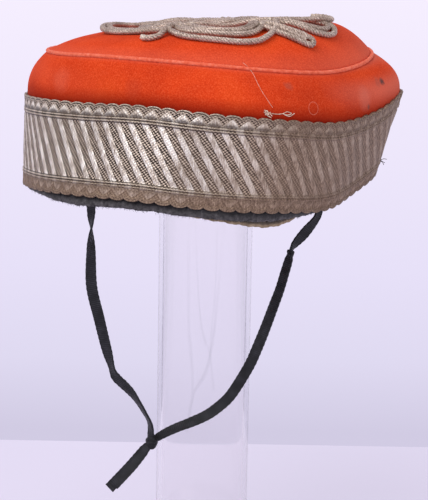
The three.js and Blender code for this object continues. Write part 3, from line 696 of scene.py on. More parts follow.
# Painted shadow at the foot of each satin dome in the borders
dome_foot_shadow = math(tree, "MULTIPLY", above(tree, from_edge, 3.9, 1.3),
                 math(tree, "MULTIPLY", in_border, dome))
colour = mix_colour(tree, math(tree, "MULTIPLY", dome_foot_shadow, 0.8), colour, (0.040, 0.026, 0.018))
# Pale edging threads with painted shade in the grooves between them, round the scallops and along both ribs
thread_colour = ramp(tree, ply, [(0.35, (0.36, 0.27, 0.19)), (0.6, (0.76, 0.65, 0.50))])
pale_edge = math(tree, "ADD", line_at(tree, from_edge, 0.3, 0.16, 0.16),
                 line_at(tree, from_edge, 1.45, 0.10, 0.16), clamp=True)
pale_edge = math(tree, "ADD", pale_edge, line_at(tree, past_vee, -0.1, 0.10, 0.15), clamp=True)
# Painted shade in the groove between the two pale edging lines
scallop_groove_shade = line_at(tree, from_edge, 0.90, 0.18, 0.16)
from_rib = math(tree, "MINIMUM", math(tree, "ABSOLUTE", math(tree, "SUBTRACT", height, upper_rib)),
                math(tree, "ABSOLUTE", math(tree, "SUBTRACT", height, lower_rib)))
from_rib = math(tree, "MULTIPLY", from_rib, lace_height * 1000)
pale_rib = line_at(tree, from_rib, 0.66, 0.12, 0.22)
# Painted shade in the groove between a rib's two cords and along its outer sides
rib_groove_shade = math(tree, "ADD", line_at(tree, from_rib, 0.0, 0.18, 0.2),
                line_at(tree, from_rib, 1.35, 0.14, 0.25), clamp=True)
in_field = above(tree, from_rib, 1.5, 0.3)
groove_shade = math(tree, "ADD", math(tree, "MULTIPLY", in_border, scallop_groove_shade), rib_groove_shade, clamp=True)
bare_field = math(tree, "MULTIPLY", math(tree, "SUBTRACT", 1.0, in_border), in_field)
# Painted shade in the grooves beside each satin stripe
stripe_groove_shade = math(tree, "MULTIPLY", math(tree, "MULTIPLY", bare_field, stripe_edge), 0.85)
groove_shade = math(tree, "ADD", groove_shade, stripe_groove_shade, clamp=True)
pale_line = math(tree, "ADD", math(tree, "MULTIPLY", in_border, pale_edge), pale_rib, clamp=True)
fresh = math(tree, "MULTIPLY_ADD", painted(tree, "tarnish"), -0.65, 1.0)
# Painted groove shade, weaker where tarnished
colour = mix_colour(tree, math(tree, "MULTIPLY", groove_shade, fresh), colour, (0.040, 0.025, 0.017))
colour = mix_colour(tree, math(tree, "MULTIPLY", pale_line, fresh), colour, thread_colour)
# Tarnish: browner along the lower border and round the right end, with a few darker patches
stain = ramp(tree, noise(tree, place, 38, 4.0, 0.6), [(0.45, (0, 0, 0)), (0.68, (1, 1, 1))])
colour = mix_colour(tree, math(tree, "MULTIPLY", stain, 0.4), colour, (0.20, 0.135, 0.09))
browned = mix_colour(tree, 1.0, colour, (0.66, 0.53, 0.42), "MULTIPLY")
dulled = ramp(tree, math(tree, "MULTIPLY_ADD", silk, 0.6, math(tree, "MULTIPLY", ply, 0.4)),
              [(0.36, (0.12, 0.076, 0.050)), (0.50, (0.230, 0.150, 0.100)), (0.64, (0.43, 0.305, 0.215))])
browned = mix_colour(tree, math(tree, "MULTIPLY_ADD", painted(tree, "tarnish"), 0.45, 0.3), browned, dulled)
colour = mix_colour(tree, painted(tree, "tarnish"), colour, browned)
tree.links.new(colour, shader.inputs["Base Color"])
relief = math(tree, "SUBTRACT", math(tree, "ADD", pale_line, math(tree, "MULTIPLY", satin, 0.6)),
              math(tree, "MULTIPLY", lattice, 0.8))
add_relief(tree, shader, (relief, 0.6, 0.0004), (math(tree, "ADD", silk, ply), 0.3, 0.0003))
roughness = math(tree, "MULTIPLY_ADD", silk, 0.25, 0.28)
roughness = math(tree, "MULTIPLY_ADD", painted(tree, "tarnish"), 0.22, roughness)
tree.links.new(roughness, shader.inputs["Roughness"])
heights = np.array(heights)
lace = ring_mesh("metal_lace_band", rows, metal_lace, np.arange(lace_columns + 1) / columns_each, heights)
# How tarnished each point is follows from the scallop it is at, counted round from the right end
slant = np.clip((upper_rib - heights) / (upper_rib - lower_rib), 0, 1)
index_of = (column + stripe_start)[None, :] + stripe_shift * slant
from_end = (index_of + scallops / 2) % scallops - scallops / 2
right_end = np.clip((from_end + 19) / 6, 0, 1) * np.clip((9 - from_end) / 9, 0, 1)
left_end = np.clip((46 - index_of) / 6, 0, 1) * 0.3
low_part = np.clip((0.17 - heights) / 0.05, 0, 1) * 0.85
paint(lace, "tarnish", np.clip(np.maximum(right_end, left_end) * 0.9 + low_part, 0, 1))
paint(lace, "depth", np.array(depths))
paint(lace, "border", np.array(borders))
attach(lace, "root")
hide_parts("lace_band")

# Rim binding: a strip of thin black leather folded over the hem and sewn through. It hangs a little
# below the lace on the near side and is frayed along its lower edge.
black_leather, tree, shader = new_material("black_leather", (0.02, 0.02, 0.022), 0.65,
                                           Specular_IOR_Level=0.3)
place = object_place(tree)
scuffs = noise(tree, place, 420, 5.0, 0.7)
leather = ramp(tree, scuffs, [(0.40, (0.006, 0.005, 0.006)), (0.60, (0.016, 0.015, 0.017)),
                              (0.74, (0.10, 0.095, 0.095))])
# Paler scuffs towards the lower edge: wear, and in part a painted highlight along the folded edge
wear_and_highlight = math(tree, "MULTIPLY", painted(tree, "wear_and_highlight"), math(tree, "MULTIPLY_ADD", scuffs, 2.6, -0.75),
            clamp=True)
tree.links.new(mix_colour(tree, wear_and_highlight, leather, (0.145, 0.134, 0.130)), shader.inputs["Base Color"])
add_relief(tree, shader, (scuffs, 0.6, 0.0006))
hem_height, binding_thickness, binding_drop = 0.005, 0.0022, 0.0042
behind_lace = lace_thickness + piece_gap
binding_columns = 1100
angles = all_round(binding_columns)
rng = np.random.default_rng(7)
rough = rng.random(binding_columns)
ragged = np.convolve(np.tile(rough, 3), np.ones(5) / 5, "same")[binding_columns:2 * binding_columns]
fray = 0.0009 * (ragged - 0.5) + 0.0004 * (rough - 0.5) + 0.0002 * np.sin(17 * angles) * np.sin(5 * angles)
drop = -binding_drop * around("binding", angles) + fray
top = hem_height - piece_gap


def hem_row(angles, drop, top, t, inwards):
    return in_space(*lace_point(angles, (drop + (top - drop) * t) / lace_height, inwards), angles)


rows, wear_and_highlight = [], []
for t in (0.02, 0.1, 0.25, 0.4, 0.55, 0.75, 1.0):
    curl = 0.0002 * np.sin(angles * 23 + 2) * (1 - t)
    bow = 0.0004 * np.sin(np.pi * min(t / 0.55, 1))
    inwards = behind_lace + curl - bow * (t < 0.5) + 0.0005 * (t < 0.05)
    rows.append(hem_row(angles, drop, top, t, inwards))
    # Wear and painted highlight, strongest at the lower edge
    wear_and_highlight.append(np.clip(1 - 2.2 * t, 0, 1) + 0 * angles)
for t in (1.0, 0.5, 0.25, 0.02):
    inwards = behind_lace + binding_thickness - 0.0005 * (t < 0.05)
    rows.append(hem_row(angles, drop, top, t, inwards))
    wear_and_highlight.append(0.3 + 0 * angles)
binding = ring_mesh("leather_binding", rows, black_leather)
paint(binding, "wear_and_highlight", np.array(wear_and_highlight))


def new_tree(name, sizes):
    tree = bpy.data.node_groups.new(name, "GeometryNodeTree")
    tree.interface.new_socket("Geometry", in_out="INPUT", socket_type="NodeSocketGeometry")
    for label, size in sizes.items():
        kind = "NodeSocketInt" if isinstance(size, int) else "NodeSocketFloat"
        tree.interface.new_socket(label, in_out="INPUT", socket_type=kind).default_value = size
    tree.interface.new_socket("Geometry", in_out="OUTPUT", socket_type="NodeSocketGeometry")
    return tree, tree.nodes.new("NodeGroupInput").outputs


def finish_tree(tree, geometry, material):
    real = add_node(tree, "GeometryNodeRealizeInstances", {"Geometry": geometry})
    finished = add_node(tree, "GeometryNodeSetMaterial",
                        {"Geometry": real.outputs[0], "Material": material})
    tree.links.new(finished.outputs[0], tree.nodes.new("NodeGroupOutput").inputs[0])
    return tree


def fray_tree(name, material, sizes):
    tree, given = new_tree(name, sizes)
    points = add_node(tree, "GeometryNodeCurveToPoints",
                      {"Curve": given["Geometry"], "Count": given["Count"]}, mode="COUNT")
    shift = add_node(tree, "FunctionNodeRandomValue",
                     {0: (-0.0012, -0.0012, 0.0), 1: (0.0012, 0.0012, 0.0006), "Seed": 3},
                     data_type="FLOAT_VECTOR")
    spread = add_node(tree, "GeometryNodeSetPosition",
                      {"Geometry": points.outputs[0], "Offset": shift.outputs[0]})
    fibre = add_node(tree, "GeometryNodeMeshCone",
                     {"Vertices": 4, "Radius Top": 0.1, "Radius Bottom": 0.5, "Depth": 1.0})
    tilt = add_node(tree, "FunctionNodeRandomValue", {0: (2.5, -0.6, 0.0), 1: (3.8, 0.6, 6.28), "Seed": 5},
                    data_type="FLOAT_VECTOR")
    length = add_node(tree, "FunctionNodeRandomValue",
                      {2: given["Shortest"], 3: given["Longest"], "Seed": 8}, data_type="FLOAT")
    size = add_node(tree, "ShaderNodeCombineXYZ",
                    {0: given["Thickness"], 1: given["Thickness"], 2: length.outputs[1]})
    copies = add_node(tree, "GeometryNodeInstanceOnPoints",
                      {"Points": spread.outputs[0], "Instance": fibre.outputs[0],
                       "Rotation": tilt.outputs[0], "Scale": size.outputs[0]})
    return finish_tree(tree, copies.outputs[0], material)


def made_along(name, lines, tree, sizes):
    curve = bpy.data.curves.new(name + "_line", "CURVE")
    curve.dimensions = "3D"
    for line in lines:
        spline = curve.splines.new("POLY")
        spline.points.add(len(line) - 1)
        spline.points.foreach_set("co", np.hstack([line, np.ones((len(line), 1))]).ravel())
    source = bpy.data.objects.new(name + "_source", curve)
    bpy.context.collection.objects.link(source)
    modifier = source.modifiers.new("along", "NODES")
    modifier.node_group = tree
    for item in tree.interface.items_tree:
        if item.in_out == "INPUT" and item.name in sizes:
            modifier[item.identifier] = sizes[item.name]
    mesh = bpy.data.meshes.new_from_object(source.evaluated_get(bpy.context.evaluated_depsgraph_get()))
    bpy.data.objects.remove(source)
    mesh.name = name
    obj = bpy.data.objects.new(name, mesh)
    bpy.context.collection.objects.link(obj)
    return obj


low_edge = in_space(*lace_point(angles, (drop + 0.0002) / lace_height,
                                behind_lace + 0.5 * binding_thickness), angles)
near_side = (angles > np.radians(185)) & (angles < np.radians(318))
fray_sizes = {"Count": 420, "Shortest": 0.0004, "Longest": 0.0016, "Thickness": 0.00022}
binding_frays = made_along("binding_frays", [low_edge[near_side]],
                           fray_tree("leather_frays", black_leather, fray_sizes), fray_sizes)
for piece in (binding, binding_frays):
    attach(piece, "root")
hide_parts("rim_binding")

# Sweatband: a strip of buff leather sewn inside the hem. It shows below the rim towards the right, and
# is painted dark above its lowest edge, as shadow where it lies up behind the binding.
buff_leather, tree, shader = new_material("buff_leather", (0.25, 0.17, 0.09), 0.65)
place = object_place(tree)
grain = noise(tree, place, 260, 5.0, 0.65)
buff = ramp(tree, grain, [(0.3, (0.13, 0.085, 0.045)), (0.5, (0.30, 0.215, 0.125)),
                          (0.72, (0.46, 0.36, 0.24))])
# Painted shadow under the binding
shaded = math(tree, "MULTIPLY", painted(tree, "binding_shadow"), 0.85)
tree.links.new(mix_colour(tree, shaded, buff, (0.030, 0.020, 0.012)), shader.inputs["Base Color"])
add_relief(tree, shader, (grain, 0.5, 0.0005))
sweat_thickness, sweat_height, sweat_drop, leather_gap = 0.0012, 0.030, 0.007, 0.0006
sweat_depth = behind_lace + binding_thickness + leather_gap
drop = -sweat_drop * around("sweat", cap_angles) + 0.0002 * np.sin(cap_angles * 61)
drop = drop + 0.00015 * np.sin(cap_angles * 149)
inner_face = (0.0, 0.015, 0.03, 0.045, 0.06, 0.2, 0.4, 0.6, 0.8, 1.0)
outer_face = (1.0, 0.8, 0.6, 0.4, 0.2, 0.04, 0.0)
rows = []
for steps, depth, rounded in ((inner_face, sweat_depth, 0.0003),
                              (outer_face, sweat_depth + sweat_thickness, -0.0003)):
    for t in steps:
        ripple = 0.0002 * np.sin(cap_angles * 31 + 5 * t)
        inwards = depth + ripple * 0.5 + rounded * (t == 0)
        rows.append(hem_row(cap_angles, drop, sweat_height, t, inwards))
sweatband = ring_mesh("leather_sweatband", rows, buff_leather)
# Painted shadow: dark above the lowest edge of the inner face, and partly dark on the outer face
binding_shadow = [np.clip((t - 0.03) / 0.02, 0, 1) + 0 * cap_angles for t in inner_face]
paint(sweatband, "binding_shadow", np.array(binding_shadow + [0.4 + 0 * cap_angles] * len(outer_face)))
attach(sweatband, "root")
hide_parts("sweatband")

# Cord knot: silver cord of four strands twisted together, laid in loops over the crown and sewn down.
# Each row is a point in shares of the knot's reach from the cap's middle, and how far the cord rides up.
knot_reach, knot_cord_radius = 0.062, 0.0016
side_loops = [
    (-0.58, -0.86, 0.0), (-0.52, -0.90, 0.0), (-0.44, -0.88, 0.0), (-0.38, -0.78, 1.0), (-0.30, -0.62, 1.4),
    (-0.14, -0.46, 0.4), (0.10, -0.42, 0.8), (0.36, -0.40, 0.2), (0.60, -0.36, 0.4), (0.80, -0.34, 0.0),
    (0.92, -0.35, 0.0), (0.93, -0.48, 0.0), (0.85, -0.59, 0.0), (0.71, -0.65, 0.0), (0.56, -0.64, 0.4),
    (0.42, -0.54, 0.2), (0.26, -0.38, 1.4), (0.10, -0.18, 0.2), (-0.08, 0.02, 1.2), (-0.30, 0.18, 0.2),
    (-0.56, 0.26, 0.0), (-0.78, 0.18, 0.5), (-0.90, 0.00, 1.2), (-0.93, -0.22, 0.9), (-0.87, -0.42, 0.2),
    (-0.74, -0.58, 0.0), (-0.58, -0.67, 0.0), (-0.38, -0.69, 0.0), (-0.16, -0.65, 1.2), (0.08, -0.62, 0.2),
    (0.32, -0.64, 1.4), (0.54, -0.58, 1.2), (0.70, -0.48, 0.8), (0.82, -0.40, 1.4), (0.91, -0.31, 1.4),
    (0.88, -0.22, 1.0), (0.78, -0.20, 1.0)]
near_bight = [
    (-0.37, -0.80, 0.2), (-0.28, -0.93, 0.0), (-0.14, -1.00, 0.0), (0.04, -1.03, 0.0), (0.20, -1.025, 0.0),
    (0.34, -0.97, 0.0), (0.44, -0.84, 0.2), (0.47, -0.68, 1.2), (0.40, -0.46, 0.2), (0.26, -0.26, 1.4),
    (0.10, -0.06, 0.2), (-0.08, 0.14, 0.8), (-0.28, 0.42, 0.2), (-0.48, 0.54, 0.0), (-0.62, 0.52, 0.0),
    (-0.66, 0.42, 0.0), (-0.54, 0.36, 0.0), (-0.34, 0.34, 1.0), (-0.10, 0.24, 0.2), (0.14, 0.26, 0.0),
    (0.30, 0.20, 0.0), (0.32, 0.08, 0.0), (0.18, 0.00, 0.8), (-0.06, 0.10, 0.2), (-0.30, 0.06, 1.0),
    (-0.52, -0.04, 0.2), (-0.62, -0.20, 0.0), (-0.54, -0.36, 0.0), (-0.34, -0.42, 0.8), (-0.10, -0.44, 0.2),
    (0.12, -0.46, 1.0), (0.30, -0.46, 0.3)]
far_bight = [
    (-0.33, -0.66, 1.0), (-0.28, -0.78, 0.0), (-0.20, -0.88, 0.0), (-0.06, -0.935, 0.0),
    (0.08, -0.955, 0.0), (0.20, -0.945, 0.0), (0.31, -0.88, 0.0), (0.37, -0.74, 0.6),
    (0.30, -0.58, 0.2), (0.14, -0.40, 0.8),
    (-0.06, -0.20, 1.2), (-0.24, 0.00, 0.4), (-0.34, 0.22, 1.0), (-0.30, 0.40, 0.4), (-0.16, 0.46, 0.0),
    (0.02, 0.44, 0.0), (0.12, 0.34, 0.2), (0.10, 0.18, 0.8), (0.16, -0.04, 0.4), (0.36, -0.20, 0.6),
    (0.56, -0.24, 0.2), (0.72, -0.30, 0.4)]
inner_bight = [
    (-0.20, -0.65, 1.0), (-0.15, -0.79, 0.4), (-0.02, -0.885, 0.2), (0.12, -0.905, 0.2), (0.24, -0.83, 0.2),
    (0.30, -0.66, 1.0)]
leaf = [
    (0.34, -0.79, 0.6), (0.45, -0.825, 0.0), (0.57, -0.837, 0.0), (0.665, -0.827, 0.0),
    (0.735, -0.803, 0.0), (0.745, -0.758, 0.2), (0.675, -0.766, 0.5), (0.57, -0.779, 0.6),
    (0.46, -0.773, 0.9), (0.38, -0.68, 0.6)]
leaf_filling = [(0.40, -0.73, 0.5), (0.50, -0.79, 0.5), (0.59, -0.809, 0.4), (0.685, -0.794, 0.2)]


def on_crown(x, y, over):
    angle = np.arctan2(y, x)
    share = np.clip(np.hypot(x, y) / seam_point(angle)[0], 0, 1)
    height = crown_point(angle, share)[1]
    tilt, nearby = [], 0.0005
    for dx, dy in ((nearby, 0), (0, nearby)):
        a, b = np.arctan2(y + dy, x + dx), np.hypot(x + dx, y + dy)
        beyond = crown_point(a, np.clip(b / seam_point(a)[0], 0, 1))[1]
        tilt.append((beyond - height) / nearby)
    normal = np.stack([-tilt[0], -tilt[1], 1 + 0 * x], -1)
    normal /= np.linalg.norm(normal, axis=-1)[..., None]
    base_point = np.stack([x + cap_middle[0], y + cap_middle[1], height + cap_middle[2]], -1)
    return base_point + normal * (1.05 + over)[..., None] * knot_cord_radius


metal_cord, tree, shader = new_material("metal_cord", (0.5, 0.43, 0.36), 0.45, Metallic=0.5)
place = object_place(tree)
tarnish_patches = noise(tree, place, 90, 4.0, 0.6)
glint = noise(tree, place, 1900, 2.0, 0.7)
cord_colour = ramp(tree, glint, [(0.34, (0.18, 0.120, 0.088)), (0.5, (0.54, 0.405, 0.320)),
                                 (0.66, (0.98, 0.84, 0.71))])
cord_colour = mix_colour(tree, ramp(tree, tarnish_patches, [(0.42, (0, 0, 0)), (0.7, (0.6, 0.6, 0.6))]),
                         cord_colour, (0.18, 0.115, 0.078))
# Painted shade in the grooves between the strands, where the surface faces in towards the cord's middle
crest = painted(tree, "crest")
cord_colour = mix_colour(tree, ramp(tree, crest, [(0.25, (1, 1, 1)), (0.75, (0, 0, 0))]), cord_colour,
                         (0.035, 0.02, 0.013))
cord_colour = mix_colour(tree, math(tree, "MULTIPLY", painted(tree, "cut"), 0.85), cord_colour,
                         (0.78, 0.67, 0.54))
tree.links.new(cord_colour, shader.inputs["Base Color"])
add_relief(tree, shader, (glint, 0.4, 0.0002))


def twisted_cord_tree(name, material, sizes):
    tree, given = new_tree(name, sizes)
    resample = add_node(tree, "GeometryNodeResampleCurve",
                        {"Curve": given["Geometry"], "Length": given["Step"]}, mode="LENGTH")
    kept = add_node(tree, "GeometryNodeCaptureAttribute", {"Geometry": resample.outputs[0]}, domain="POINT")
    facts = (("FLOAT", "along", add_node(tree, "GeometryNodeSplineParameter").outputs["Length"]),
             ("VECTOR", "normal", add_node(tree, "GeometryNodeInputNormal").outputs[0]),
             ("VECTOR", "tangent", add_node(tree, "GeometryNodeInputTangent").outputs[0]))
    for number, (kind, label, source) in enumerate(facts, 1):
        kept.capture_items.new(kind, label)
        tree.links.new(source, kept.inputs[number])
    # Each strand is the cord's own line, wound round it by so many turns
    copies = add_node(tree, "GeometryNodeDuplicateElements",
                      {"Geometry": kept.outputs[0], "Amount": given["Strands"]}, domain="SPLINE")
    turns = math(tree, "DIVIDE", kept.outputs[1], given["Turn length"])
    phase = math(tree, "DIVIDE", copies.outputs["Duplicate Index"], given["Strands"])
    angle = math(tree, "MULTIPLY", math(tree, "ADD", turns, phase), 2 * np.pi)
    turned_normal = add_node(tree, "ShaderNodeVectorRotate",
                             {"Vector": kept.outputs[2], "Axis": kept.outputs[3], "Angle": angle},
                             rotation_type="AXIS_ANGLE").outputs[0]
    offset = add_node(tree, "ShaderNodeVectorMath", {0: turned_normal, "Scale": given["Strand reach"]},
                      operation="SCALE")
    moved = add_node(tree, "GeometryNodeSetPosition",
                     {"Geometry": copies.outputs[0], "Offset": offset.outputs[0]})
    outward = add_node(tree, "GeometryNodeCaptureAttribute", {"Geometry": moved.outputs[0]}, domain="POINT")
    outward.capture_items.new("VECTOR", "outward")
    tree.links.new(turned_normal, outward.inputs[1])
    circle = add_node(tree, "GeometryNodeCurvePrimitiveCircle",
                      {"Resolution": 6, "Radius": given["Strand radius"]})
    solid = add_node(tree, "GeometryNodeCurveToMesh",
                     {"Curve": outward.outputs[0], "Profile Curve": circle.outputs[0], "Fill Caps": True})
    # How far the surface faces out from the cord's middle, used for the painted groove shade
    facing = add_node(tree, "ShaderNodeVectorMath",
                      {0: add_node(tree, "GeometryNodeInputNormal").outputs[0], 1: outward.outputs[1]},
                      operation="DOT_PRODUCT")
    crest = add_node(tree, "GeometryNodeStoreNamedAttribute",
                     {"Geometry": solid.outputs[0], "Name": "crest", "Value": facing.outputs["Value"]},
                     data_type="FLOAT", domain="POINT")
    smooth = add_node(tree, "GeometryNodeSetShadeSmooth", {"Geometry": crest.outputs[0]})
    return finish_tree(tree, smooth.outputs[0], material)


def beside(line, gap):
    along = np.gradient(line[:, :2], axis=0)
    sideways = np.stack([-along[:, 1], along[:, 0]], 1) / np.linalg.norm(along, axis=1)[:, None]
    inwards = np.sign(np.sum(sideways * (line[:, :2].mean(axis=0) - line[:, :2])))
    return np.hstack([line[:, :2] + inwards * gap * sideways, line[:, 2:]])


def knot_run(run):
    return smooth_line([(x * knot_reach, y * knot_reach, over) for x, y, over in run], 8)


knot_lines = []
for run in (side_loops, near_bight, far_bight, inner_bight, leaf, leaf_filling):
    line = knot_run(run)
    knot_lines.append(on_crown(line[:, 0], line[:, 1], line[:, 2]))
# The cord runs doubled here, so a second length lies beside the first
for run in (side_loops[7:18], side_loops[18:29], near_bight[7:20], near_bight[20:31], far_bight[:9],
            far_bight[9:18]):
    second = beside(knot_run(run), 2.02 * knot_cord_radius)
    knot_lines.append(on_crown(second[:, 0], second[:, 1], second[:, 2] + 0.1))
twist_sizes = {"Strand radius": 0.00082, "Strand reach": 0.00080, "Turn length": 0.0072, "Step": 0.0012,
               "Strands": 4}
cord_knot = made_along("cord_knot", knot_lines, twisted_cord_tree("twisted_cord", metal_cord, twist_sizes),
                       twist_sizes)
corners = np.empty(3 * len(cord_knot.data.vertices))
cord_knot.data.vertices.foreach_get("co", corners)
corners = corners.reshape(-1, 3)
# Paler ends where the cord is cut, most of all at the near left end
cut_reach = 0.0017
cut = np.clip(2.2 - np.linalg.norm(corners - knot_lines[0][0], axis=1) / cut_reach, 0, 1)
for line in knot_lines:
    for end in (line[0], line[-1]):
        cut = np.maximum(cut, np.clip(1.4 - np.linalg.norm(corners - end, axis=1) / cut_reach, 0, 0.6))
paint(cord_knot, "cut", cut)
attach(cord_knot, "root")
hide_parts("crown_knot")

# Loose threads: pale sewing thread left on the cloth and a frayed end at the lace's edge, caught in the
# fibres where they lie.
pale_thread, tree, shader = new_material("pale_thread", (0.6, 0.45, 0.33), 0.8)
place = object_place(tree)
tree.links.new(ramp(tree, noise(tree, place, 1200, 2.0),
                    [(0.35, (0.48, 0.28, 0.18)), (0.65, (0.85, 0.70, 0.55))]), shader.inputs["Base Color"])
long_thread = [
    (0.0167, -0.0800, 0.2809), (0.0191, -0.0808, 0.2791), (0.0214, -0.0833, 0.2763),
    (0.0238, -0.0882, 0.2718), (0.0261, -0.0906, 0.2679), (0.0291, -0.0917, 0.2636),
    (0.0310, -0.0917, 0.2609)]
looped_thread = [
    (0.0276, -0.0932, 0.2598), (0.0296, -0.0930, 0.2585), (0.0333, -0.0912, 0.2578),
    (0.0362, -0.0899, 0.2581), (0.0381, -0.0890, 0.2588), (0.0401, -0.0880, 0.2578),
    (0.0380, -0.0892, 0.2573), (0.0362, -0.0900, 0.2578), (0.0391, -0.0886, 0.2566),
    (0.0415, -0.0872, 0.2579)]
tuft_threads = [
    [(0.0270, -0.0931, 0.2600), (0.0280, -0.0937, 0.2588), (0.0292, -0.0932, 0.2574),
     (0.0303, -0.0939, 0.2562)],
    [(0.0284, -0.0933, 0.2597), (0.0288, -0.0940, 0.2585), (0.0286, -0.0935, 0.2573),
     (0.0299, -0.0943, 0.2566)],
    [(0.0268, -0.0933, 0.2590), (0.0282, -0.0942, 0.2582), (0.0297, -0.0937, 0.2581),
     (0.0308, -0.0940, 0.2571)],
    [(0.0275, -0.0935, 0.2577), (0.0288, -0.0943, 0.2578), (0.0299, -0.0938, 0.2590)]]
edge_threads = [
    [(0.0916, -0.0060, 0.2262), (0.0930, -0.0066, 0.2268), (0.0946, -0.0064, 0.2266)],
    [(0.0912, -0.0058, 0.2256), (0.0924, -0.0070, 0.2250), (0.0930, -0.0078, 0.2238)],
    [(0.0914, -0.0062, 0.2260), (0.0926, -0.0060, 0.2252), (0.0938, -0.0056, 0.2246)]]


def thread_tree(name, material):
    tree, given = new_tree(name, {"Radius": 0.00012})
    circle = add_node(tree, "GeometryNodeCurvePrimitiveCircle",
                      {"Resolution": 5, "Radius": given["Radius"]})
    solid = add_node(tree, "GeometryNodeCurveToMesh",
                     {"Curve": given["Geometry"], "Profile Curve": circle.outputs[0], "Fill Caps": True})
    return finish_tree(tree, solid.outputs[0], material)


loose_thread_tree = thread_tree("loose_thread", pale_thread)
thick_lines = [smooth_line(line, 6) for line in [looped_thread] + tuft_threads]
loose_threads = made_along("loose_threads", thick_lines, loose_thread_tree, {"Radius": 0.00020})
fine_threads = made_along("fine_threads", [smooth_line(long_thread, 6)], loose_thread_tree,
                          {"Radius": 0.00009})
edge_frays = made_along("edge_frays", [smooth_line(line, 5) for line in edge_threads],
                        thread_tree("edge_fray", metal_cord), {"Radius": 0.00016})
for piece, slot in ((loose_threads, "wool"), (fine_threads, "wool"), (edge_frays, "metal_lace")):
    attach(piece, "root")

# Stand: a length of clear acrylic tube standing on a clear acrylic disc, both polished and plain. The
# cap hangs on the tube's top end.
clear_acrylic = new_material("clear_acrylic", (0.975, 0.968, 0.972), 0.04, IOR=1.49,
                             Transmission_Weight=1.0)[0]
tube_radius, tube_wall, tube_top, tube_sides = 0.025, 0.003, 0.290, 128
base_radius, base_thickness, base_edge, base_sides = 0.070, 0.006, 0.0015, 160


def turned(profile, sides):
    angles = all_round(sides)
    return [np.stack([r * np.cos(angles), r * np.sin(angles), z + 0 * angles], -1) for r, z in profile]


# The rows beside each rounded edge keep the long faces flat and the glass clear
foot = base_thickness + piece_gap
tube_bore = tube_radius - tube_wall
round_off = 0.0004
held = 2 * round_off
levels = (foot + round_off, foot + held, 0.1, 0.2, tube_top - held, tube_top - round_off)
tube_profile = [
    (tube_radius - round_off, foot), *((tube_radius, level) for level in levels),
    (tube_radius - round_off, tube_top), (tube_bore + round_off, tube_top),
    *((tube_bore, level) for level in levels[::-1]), (tube_bore + round_off, foot),
]
tube = ring_mesh("acrylic_tube", turned(tube_profile, tube_sides), clear_acrylic)
disc_profile = [
    (base_radius - base_edge, 0), (base_radius - 0.4 * base_edge, 0.4 * base_edge * 0.3),
    (base_radius, base_edge), (base_radius, base_thickness - base_edge),
    (base_radius - 0.4 * base_edge, base_thickness - 0.12 * base_edge),
    (base_radius - base_edge, base_thickness),
]
faces = []
for r in range(len(disc_profile) - 1):
    faces += join_rings(r * base_sides, (r + 1) * base_sides, base_sides)
faces.append(tuple(range(base_sides))[::-1])
faces.append(tuple((len(disc_profile) - 1) * base_sides + c for c in range(base_sides)))
foot_disc = new_object("acrylic_foot", np.concatenate(turned(disc_profile, base_sides)), faces,
                       clear_acrylic)
for cap in list(foot_disc.data.polygons)[-2:]:
    cap.use_smooth = False
for piece, node in ((tube, "stand_tube"), (foot_disc, "stand_base")):
    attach(piece, "root")
    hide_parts(node)

# Table and backdrop: a pale table whose far edge lies behind the stand, and a pale wall beyond it that
# glows, its painted light brighter towards the top. Two narrow black cards stand before the wall, and only
# the glass sees them. They give the clear tube its dark edges.
table_half, table_back, table_level = 1.6, 0.215, -0.0005
wall_half, wall_place, wall_rise = 2.4, 1.6, 1.5
card_middle, card_half, card_place, card_rise = 1.41, 0.035, 1.5, 1.4
pale_table = new_material("pale_table", (0.26, 0.24, 0.29), 0.8, Emission_Color=(0.80, 0.745, 0.92, 1),
                          Emission_Strength=0.64)[0]
corners = [(-table_half, -table_half, table_level), (table_half, -table_half, table_level),
           (table_half, table_back, table_level), (-table_half, table_back, table_level)]
table = new_object("table", corners, [(0, 1, 2, 3)], pale_table)


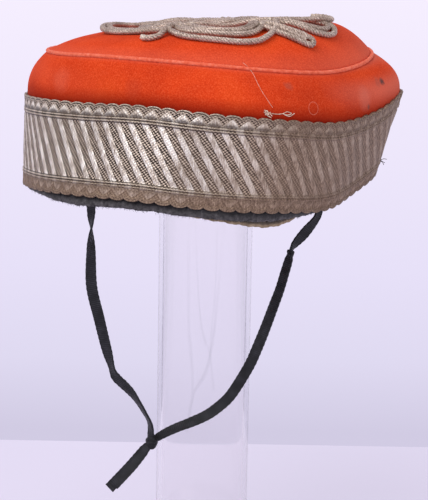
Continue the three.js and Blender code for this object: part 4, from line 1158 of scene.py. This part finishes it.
def upright_sheet(name, left, right, place, rise, material):
    corners = [(left, place, -rise), (right, place, -rise), (right, place, rise), (left, place, rise)]
    sheet = new_object(name, corners, [(0, 1, 2, 3)], material)
    return sheet


pale_wall, tree, shader = new_material("pale_wall", (0, 0, 0), 1.0, Emission_Strength=1.0,
                                       Specular_IOR_Level=0.0)
height = add_node(tree, "ShaderNodeSeparateXYZ", {"Vector": object_place(tree)}).outputs[2]
# Painted light: the wall's glow, darker just above the table and brighter towards the top
glow = ramp(tree, math(tree, "ADD", height, 0.5),
            [(0.085, (0.64, 0.60, 0.77)), (0.20, (0.74, 0.70, 0.88)), (0.345, (0.80, 0.75, 0.94)),
             (0.763, (0.92, 0.86, 1.0))])
tree.links.new(glow, shader.inputs["Emission Color"])
upright_sheet("wall", -wall_half, wall_half, wall_place, wall_rise, pale_wall)
black_card = new_material("black_card", (0.02, 0.02, 0.02), 1.0, Specular_IOR_Level=0.0)[0]
for name, x in (("left_card", -card_middle), ("right_card", card_middle)):
    card = upright_sheet(name, x - card_half, x + card_half, card_place, card_rise, black_card)
    for sight in ("camera", "diffuse", "glossy", "shadow"):
        setattr(card, "visible_" + sight, False)

# Studio light: an even pale surround, a large soft light from the upper left in front and a weak fill
# from the right. The glass doesn't see the two lights, so they leave no discs in it.
world = bpy.data.worlds.new("surround")
world.use_nodes = True
surround = world.node_tree.nodes["Background"]
surround.inputs["Color"].default_value = (0.86, 0.84, 1.0, 1)
surround.inputs["Strength"].default_value = 0.52
bpy.context.scene.world = world


def soft_light(name, place, aim, size, power):
    lamp = bpy.data.lights.new(name, "AREA")
    lamp.shape = "DISK"
    lamp.size = size
    lamp.energy = power
    obj = bpy.data.objects.new(name, lamp)
    obj.location = place
    obj.rotation_euler = (Vector(aim) - Vector(place)).to_track_quat("-Z", "Y").to_euler()
    obj.visible_transmission = False
    bpy.context.collection.objects.link(obj)


soft_light("key_light", (-0.7, -0.8, 1.6), (0, 0, 0.24), 1.5, 22)
soft_light("fill_light", (1.1, -1.2, 0.7), (0, 0, 0.2), 1.2, 6.5)
